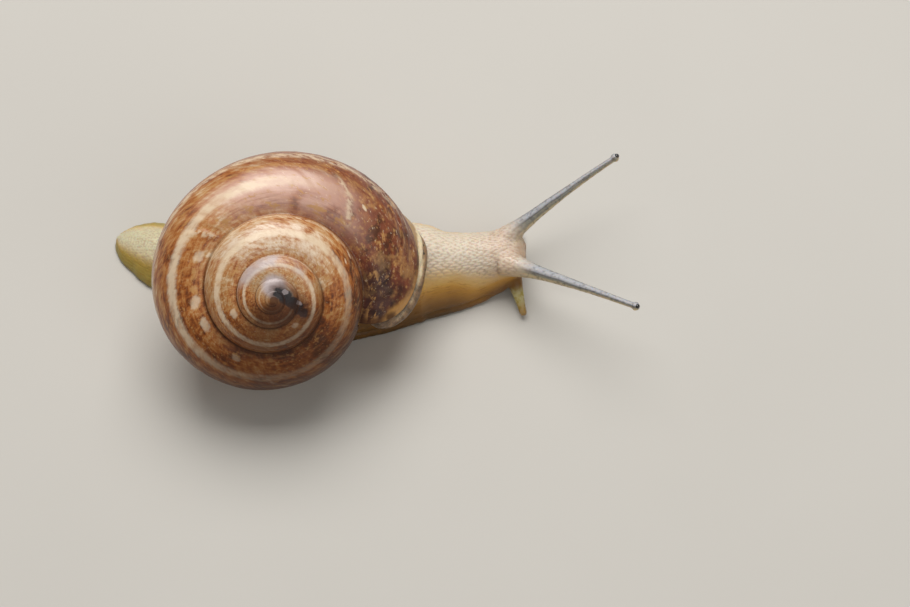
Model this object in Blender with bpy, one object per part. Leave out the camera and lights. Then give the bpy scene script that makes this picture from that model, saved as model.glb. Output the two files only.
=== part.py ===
"""Garden snail, crawling with its feelers out, as a life-size still model.

Frame: +X runs from tail to head, +Y to the animal's left, +Z up. The sole lies on z = 0 and the
origin is the middle of the sole under the shell. Sizes are in millimetres and MM turns them to metres.

The shell is one coiled tube that grows away from its apex. The flesh is modelled whole, from a lofted
body, a stalk that rises into the mouth of the shell, the mantle collar and four feelers, and is then
parted into named pieces by thin cuts.
"""

import math

import bmesh
import bpy
import numpy as np
from mathutils import Matrix, Vector

MM = 0.001
THIN_CUT = 0.2

# Shell: how the coil grows. A turn is counted back from the mouth, so the apex has the most turns.
RIM_RADIUS = 15.25
GROWTH_PER_TURN = 0.48
GROWTH_CHANGE = 0.042
# The last whorl swells and narrows a little as it grew: by how much, where it is fullest, how long one
# such wave is and how soon it fades, the last three in turns.
SWELLING = 0.024
SWELLING_TURN = 0.56
SWELLING_LENGTH = 0.53
SWELLING_FADE = 0.40
DOME = 0.35
FIRST_TURN = -0.066
LAST_TURN = 4.75
ROWS_PER_TURN = 36
UPPER_COLUMNS = 9
LOWER_COLUMNS = 9
MOUTH_DROP = 0.9
MOUTH_DROP_TURNS = 0.22
LIP_LEAN_TURNS = 0.6

# One rib of the whorl from the seam above it to the navel below, in rim radii: distance from the
# coil's axis, height below the apex, and how many degrees the lip lags behind the seam there.
RIB = (
    (0.590, -0.350, 0.0),
    (0.690, -0.330, 3.5),
    (0.860, -0.400, 13.0),
    (1.000, -0.610, 35.0),
    (0.950, -0.890, 58.0),
    (0.720, -1.130, 70.0),
    (0.400, -1.190, 68.0),
    (0.130, -1.040, 60.0),
)
RIM_POINT = 3
SEAM_HEIGHT = -0.69
NAVEL_HEIGHT = -0.90

# Shell: how it is carried.
APEX = Vector((-0.1, -7.5, 17.5))
AXIS_RISE = math.radians(54.3)
AXIS_FORWARD = math.radians(6.2)
SHELL_GAP = 0.3

# Mouth: share of its width left inside the lip and how deep it is, then the mantle's edge that
# fills it, as rings of (share of the mouth's width, how far out of it). Depths inside the mouth follow
# the whorl round, and DEPTH_TURN is the length of whorl that one turn of it takes there. Where the mouth
# lies against the older whorl, and for a few points of the lip at each end, no ring passes WALL_SHARE.
LIP_SHARE = 0.96
WALL_SHARE = 0.86
LIP_ENDS = 3
RECESS_DEPTH = 2.8
DEPTH_TURN = 50.0
COLLAR_SPREAD = 0.04
COLLAR_RINGS = (
    (0.45, -0.50),
    (0.78, -0.50),
    (0.86, -0.30),
    (0.88, 0.10),
    (0.98, 0.35),
    (1.03, 0.90),
    (1.05, 1.65),
    (1.00, 2.25),
    (0.84, 2.40),
)
# The collar stands less far out towards the animal's right: by this share at the reach given.
COLLAR_LEAN = 0.30
COLLAR_REACH = 6.0
COLLAR_FULLEST = 0.35
# It swells forward by BULGE where it lies over the neck, about the line Y = BULGE_MIDDLE.
BULGE = 0.50
BULGE_FROM = 0.94
BULGE_MIDDLE = 2.9
BULGE_REACH = 3.3

# Body: stations from tail to head. X, Y, half-width where it is widest, half-width of the back,
# height of the back, height of the widest level, height of the belly. The floor trims the belly flat.
BODY = (
    (-17.75, 7.55, 0.55, 0.50, 0.75, 0.15, -0.1),
    (-17.10, 7.15, 1.75, 1.50, 1.45, 0.25, -0.1),
    (-15.80, 6.60, 2.80, 2.20, 2.15, 0.30, -0.1),
    (-13.60, 5.70, 3.60, 2.80, 2.80, 0.35, -0.1),
    (-10.00, 3.90, 4.20, 3.30, 3.40, 0.35, -0.1),
    (-5.00, 1.80, 4.60, 3.60, 4.10, 0.35, -0.1),
    (0.00, 0.55, 4.75, 3.70, 4.70, 0.35, -0.1),
    (5.00, 0.15, 4.80, 3.80, 5.00, 0.35, -0.1),
    (9.00, 0.95, 4.80, 4.00, 6.20, 0.35, -0.1),
    (13.00, 2.90, 5.50, 5.00, 8.30, 0.35, -0.1),
    (17.00, 3.20, 4.60, 3.80, 7.10, 0.40, -0.1),
    (20.30, 3.75, 3.80, 3.30, 6.10, 0.60, -0.1),
    (22.60, 4.00, 3.10, 3.10, 6.00, 2.00, 0.25),
    (24.20, 4.05, 2.60, 2.70, 5.50, 2.90, 1.10),
    (25.20, 4.05, 1.40, 1.50, 4.50, 3.20, 2.20),
)
BODY_ROWS = 56
BODY_SIDES = 28
BELLY_FLATNESS = 4

# Where the body is parted: tail from trunk, trunk from neck, neck from head, as X of the cut.
CUTS = (-8.0, 16.6, 21.0)

# Stalk: from the mouth of the shell down into the foot. The rings pass from the mouth's outline to
# an oval lying in the foot.
STALK_SHARE = 0.84
STALK_FOOT = Vector((8.8, 1.2, 2.0))
STALK_LENGTH = 8.4
STALK_WIDTH = 3.9
STALK_TURN = math.radians(15)
STALK_ROWS = 9

# Feelers: root, tip, and how far the middle line bows out half way; then radius at shares of the length.
UPPER_FEELERS = {
    "left": ((22.3, 4.9, 4.3), (34.68, 11.97, 10.69), (0.0, 0.14, 0.30)),
    "right": ((23.0, 2.65, 4.5), (36.44, -4.95, 10.05), (0.0, 0.02, 0.30)),
}
UPPER_RADII = (
    (0.0, 1.50),
    (0.10, 1.16),
    (0.18, 0.89),
    (0.27, 0.71),
    (0.43, 0.56),
    (0.60, 0.43),
    (0.80, 0.35),
    (0.90, 0.32),
)
BULB_RADIUS = 0.46
LOWER_FEELERS = {
    "left": ((23.2, 5.2, 2.7), (24.9, 8.1, 0.75), (0.0, 0.0, -0.35)),
    "right": ((23.8, 2.6, 2.7), (25.0, -1.75, 0.75), (0.0, 0.0, -0.35)),
}
LOWER_RADII = ((0.0, 0.95), (0.35, 0.72), (0.70, 0.46), (0.93, 0.38))
EYE_RADIUS = 0.27
EYE_SET_OUT = 0.29
EYE_GAP = 0.06

MATERIALS = {
    "shell": ((0.34, 0.15, 0.06), 0.35),
    "skin": ((0.62, 0.48, 0.30), 0.45),
    "mantle": ((0.48, 0.38, 0.25), 0.5),
    "feeler": ((0.45, 0.44, 0.42), 0.4),
    "eye": ((0.02, 0.02, 0.02), 0.2),
}


def clear_scene():
    for obj in list(bpy.data.objects):
        bpy.data.objects.remove(obj)


def material(name):
    """A plain Principled material for one kind of surface."""
    found = bpy.data.materials.get(name)
    if found:
        return found
    colour, roughness = MATERIALS[name]
    made = bpy.data.materials.new(name)
    made.use_nodes = True
    shader = made.node_tree.nodes["Principled BSDF"]
    shader.inputs["Base Color"].default_value = (*colour, 1.0)
    shader.inputs["Roughness"].default_value = roughness
    shader.inputs["Metallic"].default_value = 0.0
    return made


def add_object(name, points, faces, finish=None):
    """A closed mesh from points in millimetres, with its faces turned outwards."""
    mesh = bpy.data.meshes.new(name)
    mesh.from_pydata([tuple(MM * c for c in p) for p in points], [], faces)
    shape = bmesh.new()
    shape.from_mesh(mesh)
    bmesh.ops.recalc_face_normals(shape, faces=shape.faces)
    shape.to_mesh(mesh)
    shape.free()
    obj = bpy.data.objects.new(name, mesh)
    bpy.context.scene.collection.objects.link(obj)
    if finish:
        mesh.materials.append(material(finish))
        mesh.shade_smooth()
        mesh.set_sharp_from_angle(angle=math.radians(50))
    return obj


def as_helper(obj):
    """Marks a cutter or a guide, which is no piece of the model."""
    obj.hide_render = True
    obj.display_type = "WIRE"
    return obj


def fan(points, faces, ring, middle):
    """Closes a ring of points with triangles round one point in its middle."""
    points.append(middle)
    for a, b in zip(ring, ring[1:] + ring[:1]):
        faces.append((a, b, len(points) - 1))


def boolean(obj, operation, other):
    step = obj.modifiers.new(operation.lower(), "BOOLEAN")
    step.operation = operation
    step.solver = "EXACT"
    step.object = other


def smooth_through(knots, values, at):
    """Values of the smooth curve that passes through each knot, by cubic Hermite pieces."""
    knots, values, at = (np.asarray(a, float) for a in (knots, values, at))
    values = values.reshape(len(knots), -1)
    slopes = np.gradient(values, knots, axis=0)
    i = np.clip(np.searchsorted(knots, at, side="right") - 1, 0, len(knots) - 2)
    width = (knots[i + 1] - knots[i])[:, None]
    s = ((at - knots[i]) / width[:, 0])[:, None]
    h00, h10 = 2 * s**3 - 3 * s**2 + 1, s**3 - 2 * s**2 + s
    h01, h11 = 3 * s**2 - 2 * s**3, s**3 - s**2
    return (
        h00 * values[i]
        + h10 * width * slopes[i]
        + h01 * values[i + 1]
        + h11 * width * slopes[i + 1]
    )


def smooth_step(x):
    x = np.clip(x, 0.0, 1.0)
    return x * x * (3 - 2 * x)


# --- Shell -----------------------------------------------------------------------------------------


def rib_knots():
    """Share of the rib's length at each of its points."""
    steps = [math.dist(a[:2], b[:2]) for a, b in zip(RIB, RIB[1:])]
    total = sum(steps)
    return [sum(steps[:i]) / total for i in range(len(RIB))]


RIB_KNOTS = rib_knots()


def rim_radius(turn):
    off = turn - SWELLING_TURN
    wave = np.cos(2 * np.pi * off / SWELLING_LENGTH) * np.exp(-((off / SWELLING_FADE) ** 2))
    growth = np.exp(-GROWTH_PER_TURN * turn - GROWTH_CHANGE * turn**2)
    return RIM_RADIUS * growth * (1 + SWELLING * wave)


def rise_scale(turn):
    """Scale of heights, which falls faster than the radius, so that the spire is domed."""
    return rim_radius(turn) * (rim_radius(turn) / RIM_RADIUS) ** DOME


def seam_share():
    """Share of the rib, just below the rim, where the next whorl is joined on."""
    shares = np.linspace(RIB_KNOTS[RIM_POINT], RIB_KNOTS[RIM_POINT + 1], 200)
    heights = smooth_through(RIB_KNOTS, RIB, shares)[:, 1]
    return float(shares[np.argmin(np.abs(heights - SEAM_HEIGHT))])


SEAM_SHARE = seam_share()


def mouth_drop(turn):
    """How far the last stretch of the whorl sinks below the coil's own slope."""
    return MOUTH_DROP * smooth_step((MOUTH_DROP_TURNS - turn) / (MOUTH_DROP_TURNS - FIRST_TURN))


def seam_at(turn):
    """Radius and height of the seam that the whorl at this turn hangs from."""
    older = turn + 1
    radius, height, _ = smooth_through(RIB_KNOTS, RIB, [SEAM_SHARE])[0]
    sunk = mouth_drop(turn)
    return radius * rim_radius(older) - 0.25 * sunk, height * rise_scale(older) - sunk


def whorl_point(turn, share):
    """Point of the coil, in the shell's own axes: Z up its axis, X and Y across it.

    The rib is scaled to this turn. Its upper end is drawn on to the seam, and it sinks near the mouth.
    """
    radius, height, _ = smooth_through(RIB_KNOTS, RIB, [share])[0]
    radius, height = radius * rim_radius(turn), height * rise_scale(turn) - mouth_drop(turn)
    start_radius, start_height = seam_at(turn)
    hold = max(0.0, 1 - share / RIB_KNOTS[RIM_POINT]) ** 2
    radius += hold * (start_radius - RIB[0][0] * rim_radius(turn))
    height += hold * (start_height + mouth_drop(turn) - RIB[0][1] * rise_scale(turn))
    if turn >= 1 + FIRST_TURN and share <= SEAM_SHARE:
        nearness = (share / SEAM_SHARE) ** 6
        next_radius, next_height = seam_at(turn - 1)
        own_radius, own_height, _ = smooth_through(RIB_KNOTS, RIB, [SEAM_SHARE])[0]
        radius += nearness * (next_radius - own_radius * rim_radius(turn))
        height += nearness * (next_height - own_height * rise_scale(turn) + mouth_drop(turn))
    angle = 2 * math.pi * turn
    return Vector((radius * math.cos(angle), radius * math.sin(angle), height))


def shell_frame():
    """Matrix from the shell's own axes to the animal's."""
    rise = Vector(
        (
            math.cos(AXIS_RISE) * math.sin(AXIS_FORWARD),
            -math.cos(AXIS_RISE) * math.cos(AXIS_FORWARD),
            math.sin(AXIS_RISE),
        )
    )
    ahead = Vector((1, 0, 0))
    ahead = (ahead - ahead.dot(rise) * rise).normalized()
    side = rise.cross(ahead)
    return Matrix.Translation(APEX) @ Matrix((ahead, side, rise)).transposed().to_4x4()


def lip_turn(turn, share):
    """Turn of a mesh row at a share of the rib. Rows near the mouth lean back along the lip."""
    lag = smooth_through(RIB_KNOTS, RIB, [share])[0][2] / 360
    return turn + lag * smooth_step(1 - (turn - FIRST_TURN) / LIP_LEAN_TURNS)


def column_shares():
    upper = [SEAM_SHARE * j / UPPER_COLUMNS for j in range(UPPER_COLUMNS + 1)]
    lower = [
        SEAM_SHARE + (1 - SEAM_SHARE) * j / LOWER_COLUMNS for j in range(1, LOWER_COLUMNS + 1)
    ]
    return upper + lower


def mouth_loop(place, depth=0.0):
    """The edge of the mouth: the lip from the seam to the navel, then back up the older whorl.

    With a depth, the same outline that far inside the whorl.
    """
    shares = column_shares()
    back = depth / DEPTH_TURN
    lip = [place @ whorl_point(lip_turn(FIRST_TURN, s) + back, s) for s in shares]
    wall = [place @ whorl_point(FIRST_TURN + 1 + back, s) for s in shares[UPPER_COLUMNS + 1 :]]
    return lip + wall[::-1]


def mouth_ring(place, share, out, spread=0.0):
    """The mouth's outline drawn in to a share of its width, out of the mouth or inside it."""
    loop = mouth_loop(place, max(-out, 0.0))
    middle, facing = middle_of(loop), facing_of(loop)
    last = UPPER_COLUMNS + LOWER_COLUMNS
    near_wall = min(share, WALL_SHARE)
    ring = []
    for k, p in enumerate(loop):
        free = float(smooth_step(min(k, last - k) / LIP_ENDS))
        width = near_wall + free * (share - near_wall) + spread
        at = middle + width * (p - middle) + leaning(p, middle, max(out, 0.0)) * facing
        ring.append(at + bulging(at, p.x > middle.x, share) * Vector((1, 0, 0)))
    return ring


def bulging(point, in_front, share):
    """How far a point of the collar swells forward over the neck."""
    grown = min(max((share - BULGE_FROM) / 0.1, 0.0), 1.0) if in_front else 0.0
    return BULGE * grown * max(1 - ((point.y - BULGE_MIDDLE) / BULGE_REACH) ** 2, 0.0)


def leaning(point, middle, out):
    """How far out a point of the collar stands, which is less on the animal's right."""
    across = min((point.y - middle.y) / COLLAR_REACH, COLLAR_FULLEST)
    return out * (1 + COLLAR_LEAN * across)


def middle_of(loop):
    """Middle of the free lip, which keeps clear of the older whorl that bulges into the mouth."""
    lip = loop[: UPPER_COLUMNS + LOWER_COLUMNS + 1]
    return sum(lip, Vector()) / len(lip)


def facing_of(loop):
    """Unit vector square to a loop, out of the mouth of the shell."""
    middle = middle_of(loop)
    area = Vector()
    for a, b in zip(loop, loop[1:] + loop[:1]):
        area += (a - middle).cross(b - middle)
    area.normalize()
    return area if area.x > 0 else -area


def coil(place):
    """Points and faces of the coil, and the numbers of the points round its mouth."""
    shares = column_shares()
    rows = round((LAST_TURN - FIRST_TURN) * ROWS_PER_TURN)
    end = len(shares) - 1
    points, index, faces = [], {}, []
    for i in range(rows + 1):
        turn = FIRST_TURN + i / ROWS_PER_TURN
        for j in range(end + 1 if i <= ROWS_PER_TURN else UPPER_COLUMNS + 1):
            if i >= ROWS_PER_TURN and j == UPPER_COLUMNS:
                index[i, j] = index[i - ROWS_PER_TURN, 0]
                continue
            index[i, j] = len(points)
            points.append(place @ whorl_point(lip_turn(turn, shares[j]), shares[j]))
    for i in range(rows):
        for j in range(end if i < ROWS_PER_TURN else UPPER_COLUMNS):
            faces.append((index[i, j], index[i + 1, j], index[i + 1, j + 1], index[i, j + 1]))
    top = [index[i, 0] for i in range(rows - ROWS_PER_TURN, rows + 1)]
    top += [index[rows, j] for j in range(1, UPPER_COLUMNS)]
    fan(points, faces, top, sum((points[k] for k in top), Vector()) / len(top))
    navel = [index[i, end] for i in range(ROWS_PER_TURN + 1)]
    fan(points, faces, navel, place @ Vector((0, 0, NAVEL_HEIGHT * RIM_RADIUS)))
    mouth = [index[0, j] for j in range(end + 1)]
    mouth += [index[ROWS_PER_TURN, j] for j in range(end, UPPER_COLUMNS, -1)]
    return points, faces, mouth


def build_shell(place):
    """The coil as one closed skin, its mouth closed by a shallow recess that takes the collar."""
    points, faces, ring = coil(place)
    for depth in (0.0, RECESS_DEPTH / 2, RECESS_DEPTH):
        loop = mouth_loop(place, depth)
        middle = middle_of(loop)
        inner = list(range(len(points), len(points) + len(ring)))
        points += [middle + LIP_SHARE * (p - middle) for p in loop]
        for k in range(len(ring)):
            after = (k + 1) % len(ring)
            faces.append((ring[k], ring[after], inner[after], inner[k]))
        ring = inner
    fan(points, faces, ring, sum((points[k] for k in ring), Vector()) / len(ring))
    return add_object("shell", points, faces, "shell")


def build_shell_room(place):
    """The coil swollen by the gap that the flesh keeps from it, with its mouth closed flat."""
    points, faces, mouth = coil(place)
    fan(points, faces, mouth, sum((points[k] for k in mouth), Vector()) / len(mouth))
    room = as_helper(add_object("shell_room", points, faces))
    shape = bmesh.new()
    shape.from_mesh(room.data)
    shape.normal_update()
    for vertex in shape.verts:
        vertex.co += MM * SHELL_GAP * vertex.normal
    shape.to_mesh(room.data)
    shape.free()
    return room


# --- Flesh -----------------------------------------------------------------------------------------


def tube(name, rings, finish=None):
    """A closed tube through rings of points, with a fan over each end."""
    sides = len(rings[0])
    points = [p for ring in rings for p in ring]
    faces = []
    for start in range(0, len(points) - sides, sides):
        for j in range(sides):
            a, b = start + j, start + (j + 1) % sides
            faces.append((a, b, b + sides, a + sides))
    for start in (0, len(points) - sides):
        ring = list(range(start, start + sides))
        fan(points, faces, ring, sum((points[k] for k in ring), Vector()) / sides)
    made = add_object(name, points, faces, finish)
    return made if finish else as_helper(made)


def body_share(x):
    """Share of the body's length at which its middle line reaches this X."""
    shares = np.linspace(0, 1, 400)
    return float(np.interp(x, smooth_through(np.linspace(0, 1, len(BODY)), BODY, shares)[:, 0], shares))


def body_station(share):
    """Row of BODY at a share of its length, smoothly between the stations given."""
    return smooth_through(np.linspace(0, 1, len(BODY)), BODY, [share])[0]


def body_left(share):
    """Unit vector to the animal's left, level with the floor and square to the body's line."""
    step = 0.01
    a, b = body_station(max(share - step, 0)), body_station(min(share + step, 1))
    return Vector((a[1] - b[1], b[0] - a[0], 0)).normalized()


def body_ring(share, swell):
    """A bell-shaped section: a flat sole, spreading margins and a round back."""
    x, y, sole, back, height, widest, belly = body_station(share)
    left = body_left(share)
    sole, back, height, belly = sole + swell, back + swell, height + swell, belly - swell
    ring = []
    for j in range(BODY_SIDES):
        angle = 2 * math.pi * j / BODY_SIDES
        across, up = math.cos(angle), math.sin(angle)
        if up >= 0:
            reach = back + (sole - back) * (1 - up) ** 2
            level = widest + up * (height - widest)
        else:
            reach = sole
            level = max(widest - (1 - (1 + up) ** BELLY_FLATNESS) * (widest - belly), 0.0)
        ring.append(Vector((x, y, level)) + left * across * reach)
    return ring


def build_body(name, swell=0.0):
    """The body from tail to head, swollen where it is only a cutter."""
    shares = np.linspace(0, 1, BODY_ROWS)
    return tube(name, [body_ring(share, swell) for share in shares])


def build_stalk(place):
    """The column of flesh between the mouth of the shell and the foot."""
    loop = mouth_loop(place)
    middle, facing = sum(loop, Vector()) / len(loop), facing_of(loop)
    stalk_out = COLLAR_RINGS[-1][1] + THIN_CUT
    ahead = (Vector((0, 0, 1)) - facing.z * facing).normalized()
    left = ahead.cross(facing)
    foot_ahead = Vector((math.cos(STALK_TURN), math.sin(STALK_TURN), 0))
    foot_left = Vector((-foot_ahead.y, foot_ahead.x, 0))
    rings = []
    for s in np.linspace(0, 1, STALK_ROWS):
        ring = []
        for p in loop:
            top = middle + STALK_SHARE * (p - middle) + leaning(p, middle, stalk_out) * facing
            turn = math.atan2((p - middle).dot(left), (p - middle).dot(ahead))
            foot = STALK_FOOT + STALK_LENGTH * math.cos(turn) * foot_ahead
            foot += STALK_WIDTH * math.sin(turn) * foot_left
            ring.append(top.lerp(foot, smooth_step(s) * 0.5 + s * 0.5))
        rings.append(ring)
    return tube("stalk", rings)


def build_collar(place):
    """The mantle's edge: a cushion that fills the mouth of the shell and swells out past the lip."""
    rings = [mouth_ring(place, share, out) for share, out in COLLAR_RINGS]
    return tube("mantle_collar", rings, "mantle")


def build_collar_room(place):
    """The outer part of the collar, swollen by the cut that parts it from the stalk and the foot."""
    outer = [(share, out) for share, out in COLLAR_RINGS if out > 0]
    rings = [mouth_ring(place, share, out + THIN_CUT, COLLAR_SPREAD) for share, out in outer]
    return tube("collar_room", [mouth_ring(place, outer[0][0], 0.0, COLLAR_SPREAD), *rings])


def slab_between(name, start, end):
    """A box from one cut of the body to the next, half a thin cut short of each."""
    corners = []
    for x, side in ((start, 1), (end, -1)):
        share = body_share(x)
        px, py = body_station(share)[:2]
        left = body_left(share)
        along = Vector((left.y, -left.x, 0))
        middle = Vector((px, py, 0)) + along * (side * THIN_CUT / 2)
        if x in (BODY[0][0], BODY[-1][0]):
            middle -= along * (side * RIM_RADIUS)
        corners += [
            middle + left * across + Vector((0, 0, level))
            for across, level in ((-30, -5), (30, -5), (30, 40), (-30, 40))
        ]
    faces = [(0, 1, 2, 3), (7, 6, 5, 4)]
    faces += [(k, (k + 1) % 4, 4 + (k + 1) % 4, 4 + k) for k in range(4)]
    return as_helper(add_object(name, corners, faces))


def build_flesh(place):
    """Tail, trunk, neck and head: one body, joined to its stalk, cleared of the shell and parted."""
    stalk, rooms = build_stalk(place), (build_shell_room(place), build_collar_room(place))
    ends = (BODY[0][0], *CUTS, BODY[-1][0])
    for name, start, end in zip(("tail", "trunk", "neck", "head"), ends, ends[1:]):
        piece = build_body(name)
        piece.hide_render = False
        piece.display_type = "TEXTURED"
        piece.data.materials.append(material("skin"))
        piece.data.shade_smooth()
        boolean(piece, "UNION", stalk)
        for room in rooms:
            boolean(piece, "DIFFERENCE", room)
        boolean(piece, "INTERSECT", slab_between(f"{name}_slab", start, end))


def feeler_line(ends, share):
    """Point on a feeler's middle line, which bows a little between its ends."""
    root, tip, bow = (Vector(v) for v in ends)
    return root.lerp(tip, share) + bow * math.sin(math.pi * share)


def round_ring(middle, along, radius, sides):
    left = Vector((0, 0, 1)).cross(along).normalized()
    up = along.cross(left)
    turns = [2 * math.pi * j / sides for j in range(sides)]
    return [middle + radius * (left * math.cos(t) + up * math.sin(t)) for t in turns]


def build_feeler(name, ends, radii, ball, rows, sides):
    """A tapering feeler that ends in a ball of the radius given."""
    length = (Vector(ends[1]) - Vector(ends[0])).length
    shares = np.linspace(0, radii[-1][0], rows).tolist()
    sizes = smooth_through(*zip(*radii), shares)[:, 0].tolist()
    reach = ball / length
    for turn in range(40, 180, 20):
        share = 1 - reach - reach * math.cos(math.radians(turn))
        if share > shares[-1]:
            shares.append(share)
            sizes.append(ball * math.sin(math.radians(turn)))
    rings = []
    for share, size in zip(shares, sizes):
        before, after = (feeler_line(ends, share + step) for step in (-0.01, 0.01))
        along = (after - before).normalized()
        rings.append(round_ring(feeler_line(ends, share), along, size, sides))
    return tube(name, rings, "feeler")


def build_ball(name, middle, radius, finish=None):
    mesh_rows, sides = 8, 12
    rings = []
    for i in range(1, mesh_rows):
        angle = math.pi * i / mesh_rows
        level = middle + Vector((0, 0, radius * math.cos(angle)))
        rings.append(round_ring(level, Vector((0, 1e-6, 1)), radius * math.sin(angle), sides))
    return tube(name, rings, finish)


def build_feelers():
    """Both pairs, cleared of the head, and an eye sunk in the upper side of each upper tip."""
    head_room = build_body("head_room", THIN_CUT)
    for side, ends in UPPER_FEELERS.items():
        feeler = build_feeler(f"optic_tentacle_{side}", ends, UPPER_RADII, BULB_RADIUS, 13, 12)
        boolean(feeler, "DIFFERENCE", head_room)
        root, tip = Vector(ends[0]), Vector(ends[1])
        along = (tip - root).normalized()
        outward = (along + Vector((0, 0, 1))).normalized()
        middle = tip - BULB_RADIUS * along + EYE_SET_OUT * outward
        build_ball(f"eye_{side}", middle, EYE_RADIUS, "eye")
        boolean(feeler, "DIFFERENCE", build_ball(f"eye_room_{side}", middle, EYE_RADIUS + EYE_GAP))
    for side, ends in LOWER_FEELERS.items():
        radii = LOWER_RADII
        feeler = build_feeler(f"lower_tentacle_{side}", ends, radii, radii[-1][1], 6, 10)
        boolean(feeler, "DIFFERENCE", head_room)


def main():
    clear_scene()
    place = shell_frame()
    build_shell(place)
    build_collar(place)
    build_flesh(place)
    build_feelers()


main()
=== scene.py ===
"""Looks of a life-size garden snail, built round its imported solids.

The shell is one surface of two parameters: its age in turns back from the mouth, and the share of its rib.
One skin stands for all the flesh: it is fused from the outlines of the solids, relaxed at its joins and
covered with grains. The eyes are beads. Sizes are in millimetres; +X is ahead and +Y the animal's left.
"""

from __future__ import annotations

import logging
import math
from collections.abc import Callable
from dataclasses import dataclass
from enum import Enum
from functools import reduce

import bpy
import numpy as np
from bpy.types import Material, Mesh, NodeSocket, Object
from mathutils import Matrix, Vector


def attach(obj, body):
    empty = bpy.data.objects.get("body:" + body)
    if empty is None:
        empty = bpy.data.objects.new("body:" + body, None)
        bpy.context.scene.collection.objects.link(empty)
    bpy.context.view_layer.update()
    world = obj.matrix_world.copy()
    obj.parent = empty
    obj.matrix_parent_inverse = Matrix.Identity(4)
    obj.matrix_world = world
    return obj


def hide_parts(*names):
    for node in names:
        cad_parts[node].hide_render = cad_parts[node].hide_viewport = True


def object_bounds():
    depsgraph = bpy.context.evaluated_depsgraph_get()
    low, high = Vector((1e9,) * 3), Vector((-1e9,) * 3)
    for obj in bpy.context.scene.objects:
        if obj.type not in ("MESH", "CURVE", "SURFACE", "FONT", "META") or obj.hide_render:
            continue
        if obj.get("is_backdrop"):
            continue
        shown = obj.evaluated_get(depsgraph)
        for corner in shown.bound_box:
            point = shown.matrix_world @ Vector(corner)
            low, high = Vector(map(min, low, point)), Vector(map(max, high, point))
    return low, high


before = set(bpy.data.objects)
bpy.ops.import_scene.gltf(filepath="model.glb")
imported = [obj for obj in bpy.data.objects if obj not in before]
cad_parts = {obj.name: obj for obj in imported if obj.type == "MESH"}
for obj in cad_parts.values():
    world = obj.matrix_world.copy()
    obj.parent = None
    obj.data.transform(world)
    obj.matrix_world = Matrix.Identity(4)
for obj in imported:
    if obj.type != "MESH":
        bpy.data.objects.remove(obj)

MM = 0.001
WHORL_MAP = "Whorl"
Array = np.ndarray
Colour = tuple[float, float, float]
Point = tuple[float, float, float]
Point4 = tuple[float, float, float, float]
Columns = tuple[int, int]
UP = np.array([0.0, 0.0, 1.0])
FLOOR = np.array([-np.inf, -np.inf, 0.0])
log = logging.getLogger("garden_snail")


# --- Numbers ---


def ease(x: Array | float, low: Array | float = 0.0, high: Array | float = 1.0) -> Array:
    """Goes from 0 at low to 1 at high as 3t^2 - 2t^3; with low above high it falls."""
    t = np.clip((np.asarray(x, float) - low) / (high - low), 0.0, 1.0)
    return t * t * (3 - 2 * t)


def bump_at(x: Array, middle: Array | float, width: Array | float) -> Array:
    """A smooth hump, exp(-((x - middle) / width)^2)."""
    return np.exp(-(((x - middle) / width) ** 2))


def unit(vectors: Array) -> Array:
    """Vectors scaled to length one, along the last axis."""
    return vectors / np.maximum(np.linalg.norm(vectors, axis=-1, keepdims=True), 1e-12)


def smooth_through(knots: Array, values: Array, at: Array) -> Array:
    """The smooth curve through every knot, in cubic Hermite pieces with central slopes.

    Args:
        knots: Rising parameter values.
        values: One row for each knot.
        at: Parameter values of any shape.

    Returns:
        Curve values, with one more axis than at.
    """
    knots, at = np.asarray(knots, float), np.asarray(at, float)
    values = np.asarray(values, float).reshape(len(knots), -1)
    slopes = np.gradient(values, knots, axis=0)
    i = np.clip(np.searchsorted(knots, at, side="right") - 1, 0, len(knots) - 2)
    width = (knots[i + 1] - knots[i])[..., None]
    s = (at - knots[i])[..., None] / width
    rise = 3 * s**2 - 2 * s**3
    bends = (s**3 - 2 * s**2 + s) * slopes[i] + (s**3 - s**2) * slopes[i + 1]
    return (1 - rise) * values[i] + rise * values[i + 1] + width * bends


def hashed(cell: tuple[Array, ...], seed: int) -> Array:
    """A fixed pseudo-random number from 0 to 1 for each cell of a grid.

    Args:
        cell: Whole-numbered coordinates, one array for each axis.
        seed: Picks another set of numbers.

    Returns:
        One number for each cell.
    """
    mixed = np.full(np.shape(cell[0]), seed * 2654435761 % 2**32, np.uint64)
    for axis, prime in zip(cell, (374761393, 668265263, 2246822519)):
        mixed = (mixed + axis.astype(np.int64).astype(np.uint64) * np.uint64(prime)) & np.uint64(0xFFFFFFFF)
        mixed = ((mixed ^ (mixed >> np.uint64(13))) * np.uint64(1274126177)) & np.uint64(0xFFFFFFFF)
    mixed ^= mixed >> np.uint64(16)
    return (mixed & np.uint64(0xFFFFFF)).astype(float) / 0xFFFFFF


def soft_noise(*axes: Array, seed: int) -> Array:
    """Smooth noise: cell corners hold fixed numbers, which are eased into each other between them.

    Args:
        axes: Coordinates in cells, up to three.
        seed: Picks another pattern.

    Returns:
        Numbers from -1 to 1.
    """
    axes = np.broadcast_arrays(*axes)
    floors = [np.floor(a) for a in axes]
    shares = [ease(a - f) for a, f in zip(axes, floors)]
    total = np.zeros(axes[0].shape)
    for corner in np.ndindex(*(2,) * len(axes)):
        weight = math.prod(share if step else 1 - share for step, share in zip(corner, shares))
        total += weight * hashed(tuple(f + step for f, step in zip(floors, corner)), seed)
    return 2 * total - 1


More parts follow.
